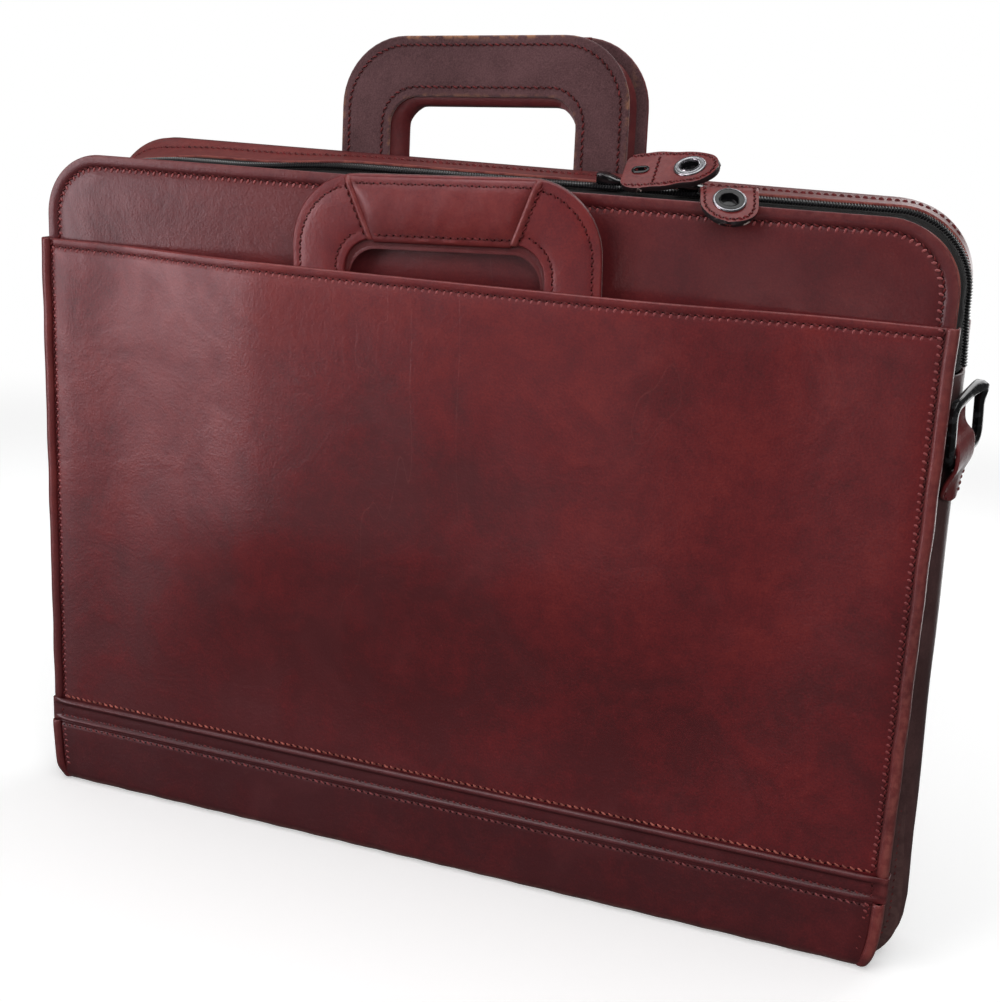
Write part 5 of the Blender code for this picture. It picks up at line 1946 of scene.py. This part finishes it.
        piece = grid(self.leaf.name + "_handle_grip_pad", shares, rows, place)
        merge(piece)
        edit(piece, "DESELECT")
        bpy.ops.mesh.select_mode(type="EDGE")
        bpy.ops.mesh.select_non_manifold()
        bpy.ops.mesh.fill_holes(sides=0)
        bpy.ops.mesh.select_all(action="SELECT")
        bpy.ops.mesh.normals_make_consistent(inside=False)
        bpy.ops.mesh.select_mode(type="FACE")
        deselect()
        round_edges(piece, 0.0004)
        smooth = piece.modifiers.new("smooth", "SUBSURF")
        smooth.levels = 1
        smooth.render_levels = 1
        apply_all(piece)
        self.grip_marks(piece)
        dress(piece, self.body(), Slot.LEATHER, (self.leaf.name + "_handle_grip",),
              (self.palette.leather,))

    def grip_marks(self, piece: bpy.types.Object) -> None:
        """Paint the grip's seams, where the leather is darkened as painted shade in their grooves, and
        a little wear all over.
        """
        back = self.seat().inverted()

        def seam(spot: Vector) -> float:
            x, _, z = back @ spot
            side = self.slanted(z) - abs(x)
            near = min(abs(z + 0.0036), abs(z + 0.0240), abs(side))
            # painted shade: the leather is darkened in the grooves of the grip's seams
            return 0.8 * math.exp(-near / 0.0009)

        paint(piece, 0.10, seam)

    def welts(self) -> None:
        """Folded welt along each slanted seam of the grip."""
        for side, end in ((-1, "left"), (1, "right")):
            def place(z: float, run: float, side: int = side) -> Vector:
                lift = 0.0006 * hump(run - 0.0012, 0.0010) - 0.0005 * ease(0.0020, 0.0028, run)
                base = 0.0139 if z > -0.0252 else 0.0134
                base = lerp(base, 0.0118, ease(-0.0030, 0.0, z))
                return self.point(side * (self.slanted(z) - 0.0006 + run), z, base + lift)

            piece = grid(f"{self.leaf.name}_grip_welt_{end}", spread(-0.0008, -0.0262, 16),
                         [0.0, 0.0004, 0.0008, 0.0012, 0.0017, 0.0022, 0.0028], place)
            turn_faces(piece, self.leaf.out())
            give_wall(piece, 0.0009, 0.45)
            paint(piece, 0.30, 0.0)
            dress(piece, self.body(), Slot.LEATHER, (), (self.palette.leather,))

    def seams(self) -> None:
        """Rows of stitches on the lining, the face and the grip."""
        outer, inner = self.loops()
        out = self.leaf.out()
        rows = []
        for depth, way, kind in ((self.lining_depth - 0.0009, -out, "lining"),
                                 (self.face_depth + 0.0009, out, "face")):
            for share in (self.seam_share, 1.0 - self.seam_share):
                row = []
                for (x0, z0), (x1, z1) in zip(outer, inner):
                    x, z = lerp(x0, x1, share), lerp(z0, z1, share)
                    under_grip = (kind == "face" and z > self.grip_foot
                                  and abs(x) < self.slanted(z) + self.grip_margin)
                    if under_grip or z < self.seam_foot:
                        if len(row) > 3:
                            rows.append(row)
                        row = []
                        continue
                    row.append((self.point(x, z, depth), way))
                if len(row) > 3:
                    rows.append(row)
        for z, depth in ((-0.0036, 0.0140), (-0.0240, 0.0142)):
            reach = self.slanted(z) - 0.0015
            rows.append([(self.point(x, z, depth), out) for x in spread(-reach, reach, 20)])
        for side in (-1, 1):
            rows.append([(self.point(side * (self.slanted(z) + 0.0026), z, 0.0138), out)
                         for z in spread(-0.0030, -0.0240, 8)])
        self.needle.sew(self.leaf.name + "_handle_seams", rows, self.body(), 0.00022,
                        pinched=False)


# Rings at the ends

@dataclass
class EndRing:
    """Black moulded ring at one end of the case, and the stitched strap that holds it."""

    ring: GussetRing
    palette: Palette
    needle: Needle
    side: int
    name: str
    depth_half: float = 0.0146
    tall: float = 0.0242
    bend: float = 0.0045
    foot_z: float = 0.2144
    out: float = 0.2054
    mid_y: float = -0.0055
    splay: float = math.radians(14.5)
    tilt: float = math.radians(15.0)
    lean: float = math.radians(2.0)
    bar_wide: float = 0.0021
    bar_thick: float = 0.0019
    strap_middle: float = -0.0035
    strap_half: float = 0.0086
    strap_top: float = 0.0200
    strap_round: float = 0.0090
    strap_wall: float = 0.0016
    strap_gap: float = 0.0003
    strap_fall: tuple[tuple[float, float], ...] = (
        # height from the bar, share of the bar's standing out that the strap keeps
        (-0.0168, 0.00), (-0.0165, 0.00), (-0.0152, 0.01), (-0.0130, 0.03), (-0.0095, 0.10),
        (-0.0060, 0.34))

    def seat(self) -> Matrix:
        """Frame at the ring's foot bar, turned with the ring."""
        place = Matrix.Translation((self.side * self.out, self.mid_y, self.foot_z))
        turn = Matrix.Rotation(-self.side * self.splay, 4, "Z")
        return place @ turn @ Matrix.Rotation(self.tilt, 4, "X")

    def build(self) -> None:
        """Make the ring and its strap."""
        self.loop()
        self.strap()

    def loop(self) -> None:
        """Ring: a flat bar with bevelled edges, run round a box with round corners."""
        seat = self.seat() @ Matrix.Rotation(self.side * self.lean, 4, "Y")
        wide, thick = self.bar_wide, self.bar_thick
        cut = 0.0010
        section = [(wide, thick - cut), (wide - cut, thick), (cut - wide, thick),
                   (-wide, thick - cut), (-wide, cut - thick), (cut - wide, -thick),
                   (wide - cut, -thick), (wide, cut - thick)]
        middle = box_loop(self.depth_half, 0.0, self.tall, self.bend, 8, 6)
        outer = box_loop(self.depth_half + wide, -wide, self.tall + wide, self.bend + wide, 8, 6)
        rows = list(range(len(section))) + [0]

        def place(index: float, row: float) -> Vector:
            (y0, z0), (y1, z1) = middle[int(index)], outer[int(index)]
            share, x = section[int(row)]
            share = share / wide
            lobe = ease(self.tall * 0.60, self.tall, z0) * ease(0.002, 0.013, y0)
            x *= 1.0 + lobe * (x * self.side > 0.0)
            spot = Vector((x, lerp(y0, y1, share), lerp(z0, z1, share)))
            return seat @ spot

        piece = grid(self.name + "_ring_bar", range(len(middle)), rows, place)
        merge(piece)
        round_edges(piece, 0.00028, 2, 25.0)
        apply_all(piece)
        paint(piece, 0.35)
        body = Body.RIGHT_RING if self.side > 0 else Body.LEFT_RING
        dress(piece, body, Slot.ENAMEL, (self.name + "_ring",), (self.palette.enamel,))

    def path(self) -> list[tuple[float, float, float]]:
        """Way of the strap: out, height, and how much it follows the bar."""
        around = 0.0020 + self.strap_gap + self.strap_wall / 2
        path = [(around, z, on_bar) for z, on_bar in self.strap_fall]
        path += [(around, -0.0030, 0.72), (around, 0.0, 1.0), (around * 0.98, 0.0030, 1.0),
                 (around * 0.88, 0.0056, 1.0), (around * 0.62, 0.0076, 0.95),
                 (around * 0.25, 0.0090, 0.7), (0.0, 0.0106, 0.3)]
        return path + [(0.0, z, 0.0) for z in (0.0130, 0.0160, self.strap_top)]

    def strap_point(self, row: int, share: float, lift: float = 0.0) -> Vector:
        """World point on the strap's middle layer."""
        x, z, on_bar = self.path()[row]
        turn = max(0.0, -z - self.strap_round) / (self.strap_round + self.strap_fall[0][0])
        narrow = math.sqrt(max(0.01, 1.0 - turn ** 2))
        forward = 0.0036 * (1.0 - ease(0.0, 0.0090, z))
        spot = self.seat() @ Vector((self.side * x, self.strap_middle - forward
                                     + share * self.strap_half * narrow, z))
        flat = self.ring.side_face(spot.y, spot.z) + 0.0005 + self.strap_wall / 2
        spot.x = self.side * (lerp(flat, abs(spot.x), on_bar) + lift)
        return spot

    def strap(self) -> None:
        """Strap: over the foot bar and sewn down on the gusset, with a round lower end."""
        rows = list(range(len(self.path())))
        shares = [-1.0, -0.9, -0.78, -0.6, -0.3, 0.0, 0.3, 0.6, 0.78, 0.9, 1.0]
        piece = grid(self.name + "_strap_leather", rows, shares,
                     lambda i, v: self.strap_point(int(i), v))
        turn_faces(piece, Vector((self.side, 0.0, 0.0)))
        give_wall(piece, self.strap_wall, 0.35, 1)
        paint(piece, 0.12, 0.0)
        dress(piece, Body.ROOT, Slot.LEATHER, (self.name + "_ring_strap",),
              (self.palette.leather,))
        way = Vector((self.side, 0.0, 0.0))
        lift = self.strap_wall / 2
        rows_sewn = [[(self.strap_point(i, v, lift), way) for i in (2, 3, 4, 5)]
                     for v in (-0.74, 0.74)]
        self.needle.sew(self.name + "_strap_seam", rows_sewn, lift=0.00005, pitch=SMALL_PITCH,
                        pinched=False)


# Studio

@dataclass
class Studio:
    """Pale floor, soft light and the camera at the photograph's angle."""

    camera_at: tuple[float, float, float] = (0.24095, -0.61279, 0.33114)
    camera_turn: tuple[float, float, float] = (75.8013, -3.3585, 21.0817)
    lens: float = 55.364
    floor_glow: float = 0.300
    room: float = 0.10

    def build(self) -> None:
        """Make the floor, the world, the lights and the camera."""
        self.floor()
        self.world()
        self.lights()
        self.camera()

    def floor(self) -> None:
        """A wide pale floor that brightens with distance and plays no part in the gloss."""
        deselect()
        bpy.ops.mesh.primitive_plane_add(size=40.0)
        floor = named("studio_floor")
        s = Sketch("pale_floor")
        reach = s.node("VectorMath", {0: s.where}, operation="LENGTH")
        far = s.band(reach.outputs["Value"], 0.30, 1.30, self.floor_glow, 1.0)
        near = s.band(far, self.floor_glow, 1.0, 0.92, 0.0)
        s.set(Base_Color=s.mix(near, (0.0, 0.0, 0.0), (0.95, 0.95, 0.95)), Roughness=0.9,
              Specular_IOR_Level=0.0, Emission_Color=(1.0, 1.0, 1.0), Emission_Strength=far)
        floor.data.materials.append(s.material)
        floor.visible_glossy = False
        floor.visible_shadow = False
        floor.visible_diffuse = False

    def world(self) -> None:
        """White surroundings for the eye, and a dim even room for everything else."""
        world = bpy.data.worlds.new("studio")
        world.use_nodes = True
        bpy.context.scene.world = world
        tree = world.node_tree
        back = tree.nodes["Background"]
        eye = tree.nodes.new("ShaderNodeLightPath").outputs["Is Camera Ray"]
        room = tree.nodes.new("ShaderNodeMix")
        room.data_type = "RGBA"
        room.inputs[6].default_value = (self.room, self.room, self.room, 1.0)
        room.inputs[7].default_value = (1.0, 1.0, 1.0, 1.0)
        tree.links.new(eye, room.inputs[0])
        tree.links.new(room.outputs[2], back.inputs["Color"])

    def lamp(self, name: str, spot: Colour, target: Colour, size: tuple[float, float],
             power: float, gloss: bool, tint: Colour = (1.0, 1.0, 1.0)) -> bpy.types.Object:
        """A soft rectangular light, aimed at a point.

        Args:
            name: name of the light.
            spot: where it stands.
            target: where it points.
            size: its width and height.
            power: its power in watts.
            gloss: whether it shows in glossy surfaces.
            tint: its colour.

        Returns:
            The light.
        """
        data = bpy.data.lights.new(name, "AREA")
        data.shape = "RECTANGLE"
        data.size, data.size_y = size
        data.energy = power
        data.color = tint
        lamp = bpy.data.objects.new(name, data)
        bpy.context.scene.collection.objects.link(lamp)
        lamp.location = spot
        way = Vector(target) - Vector(spot)
        lamp.rotation_mode = "QUATERNION"
        lamp.rotation_quaternion = way.to_track_quat("-Z", "Y")
        lamp.visible_camera = False
        lamp.visible_glossy = gloss
        return lamp

    def lights(self) -> None:
        """Soft banks all round for the colour, and cards that show only in the gloss."""
        self.lamp("top_bank", (0.0, -0.3, 2.2), (0.0, 0.0, 0.1), (2.4, 2.0), 26.0, True)
        self.lamp("left_bank", (-1.5, -2.0, 0.9), (-0.1, 0.0, 0.2), (1.4, 1.4), 30.0, False)
        self.lamp("right_bank", (1.5, -1.9, 0.9), (0.0, 0.0, 0.2), (1.4, 1.4), 22.0, False)
        self.lamp("near_bank", (0.40, -0.95, 0.85), (0.10, 0.0, 0.3), (0.5, 0.4), 1.8, False)
        self.lamp("rear_bank", (0.6, 1.9, 1.5), (0.0, 0.0, 0.2), (1.6, 1.2), 17.0, True)
        for name, spot, target, size, power, tint in (
                ("left_card", (-1.335, -1.10, 0.22), (-0.15, 0.0, 0.22), (0.70, 0.85), 9.5,
                 (1.0, 0.86, 0.92)),
                ("wide_card", (-1.32, -1.12, 0.18), (-0.12, 0.0, 0.22), (1.00, 1.00), 1.5,
                 (1.0, 0.86, 0.92)),
                ("high_card", (-0.60, -1.00, 1.50), (0.0, 0.0, 0.20), (1.20, 0.80), 8.0,
                 (1.0, 0.86, 0.92)),
                ("front_card", (-0.10, -1.50, -0.05), (0.05, 0.0, 0.20), (0.35, 0.35), 0.50,
                 (1.0, 0.92, 0.94)),
                ("rear_card", (0.60, 1.60, 0.0), (0.20, 0.0, 0.12), (1.0, 0.8), 6.0,
                 (1.0, 1.0, 1.0))):
            card = self.lamp(name, spot, target, size, power, True, tint)
            card.visible_diffuse = False

    def camera(self) -> None:
        """Camera worked out from the photograph's own perspective."""
        data = bpy.data.cameras.new("camera")
        data.lens = self.lens
        data.sensor_width = 36.0
        camera = bpy.data.objects.new("camera", data)
        bpy.context.scene.collection.objects.link(camera)
        camera.location = self.camera_at
        camera.rotation_euler = [math.radians(a) for a in self.camera_turn]
        bpy.context.scene.camera = camera
        bpy.context.scene.view_settings.view_transform = "Standard"


def main() -> None:
    """Build the studio and every sub-assembly in order."""
    logging.basicConfig(level=logging.INFO, format="%(name)s %(message)s")
    Studio().build()
    palette = Palette()
    needle = Needle(palette)
    front = Leaf("front", 0.3022, 0.0275, math.radians(1.5), -1, -0.0035, 0.3055, 0.0)
    back = Leaf("back", 0.3098, 0.0320, math.radians(4.5), 1, 0.0175, 0.3640, 0.0018)
    ring = GussetRing(front, back)
    for leaf in (front, back):
        LeafDressing(leaf, palette, needle).build()
        HandleDressing(leaf, palette, needle).build()
    GussetDressing(ring, palette, needle).build()
    ZipperDressing(ring, palette, needle).build()
    PullTab("pull_left", (0.0632, -0.0109, 0.3100), 0.0, 34.0, 7.0, 0.0385, 0.0, False, palette,
            needle).build()
    PullTab("pull_right", (0.1045, -0.0093, 0.3055), -73.7, 0.0, 4.9, 0.0199, 43.6, True, palette,
            needle).build()
    for side, name in ((1, "right"), (-1, "left")):
        EndRing(ring, palette, needle, side, name).build()


if __name__ == "__main__":
    main()
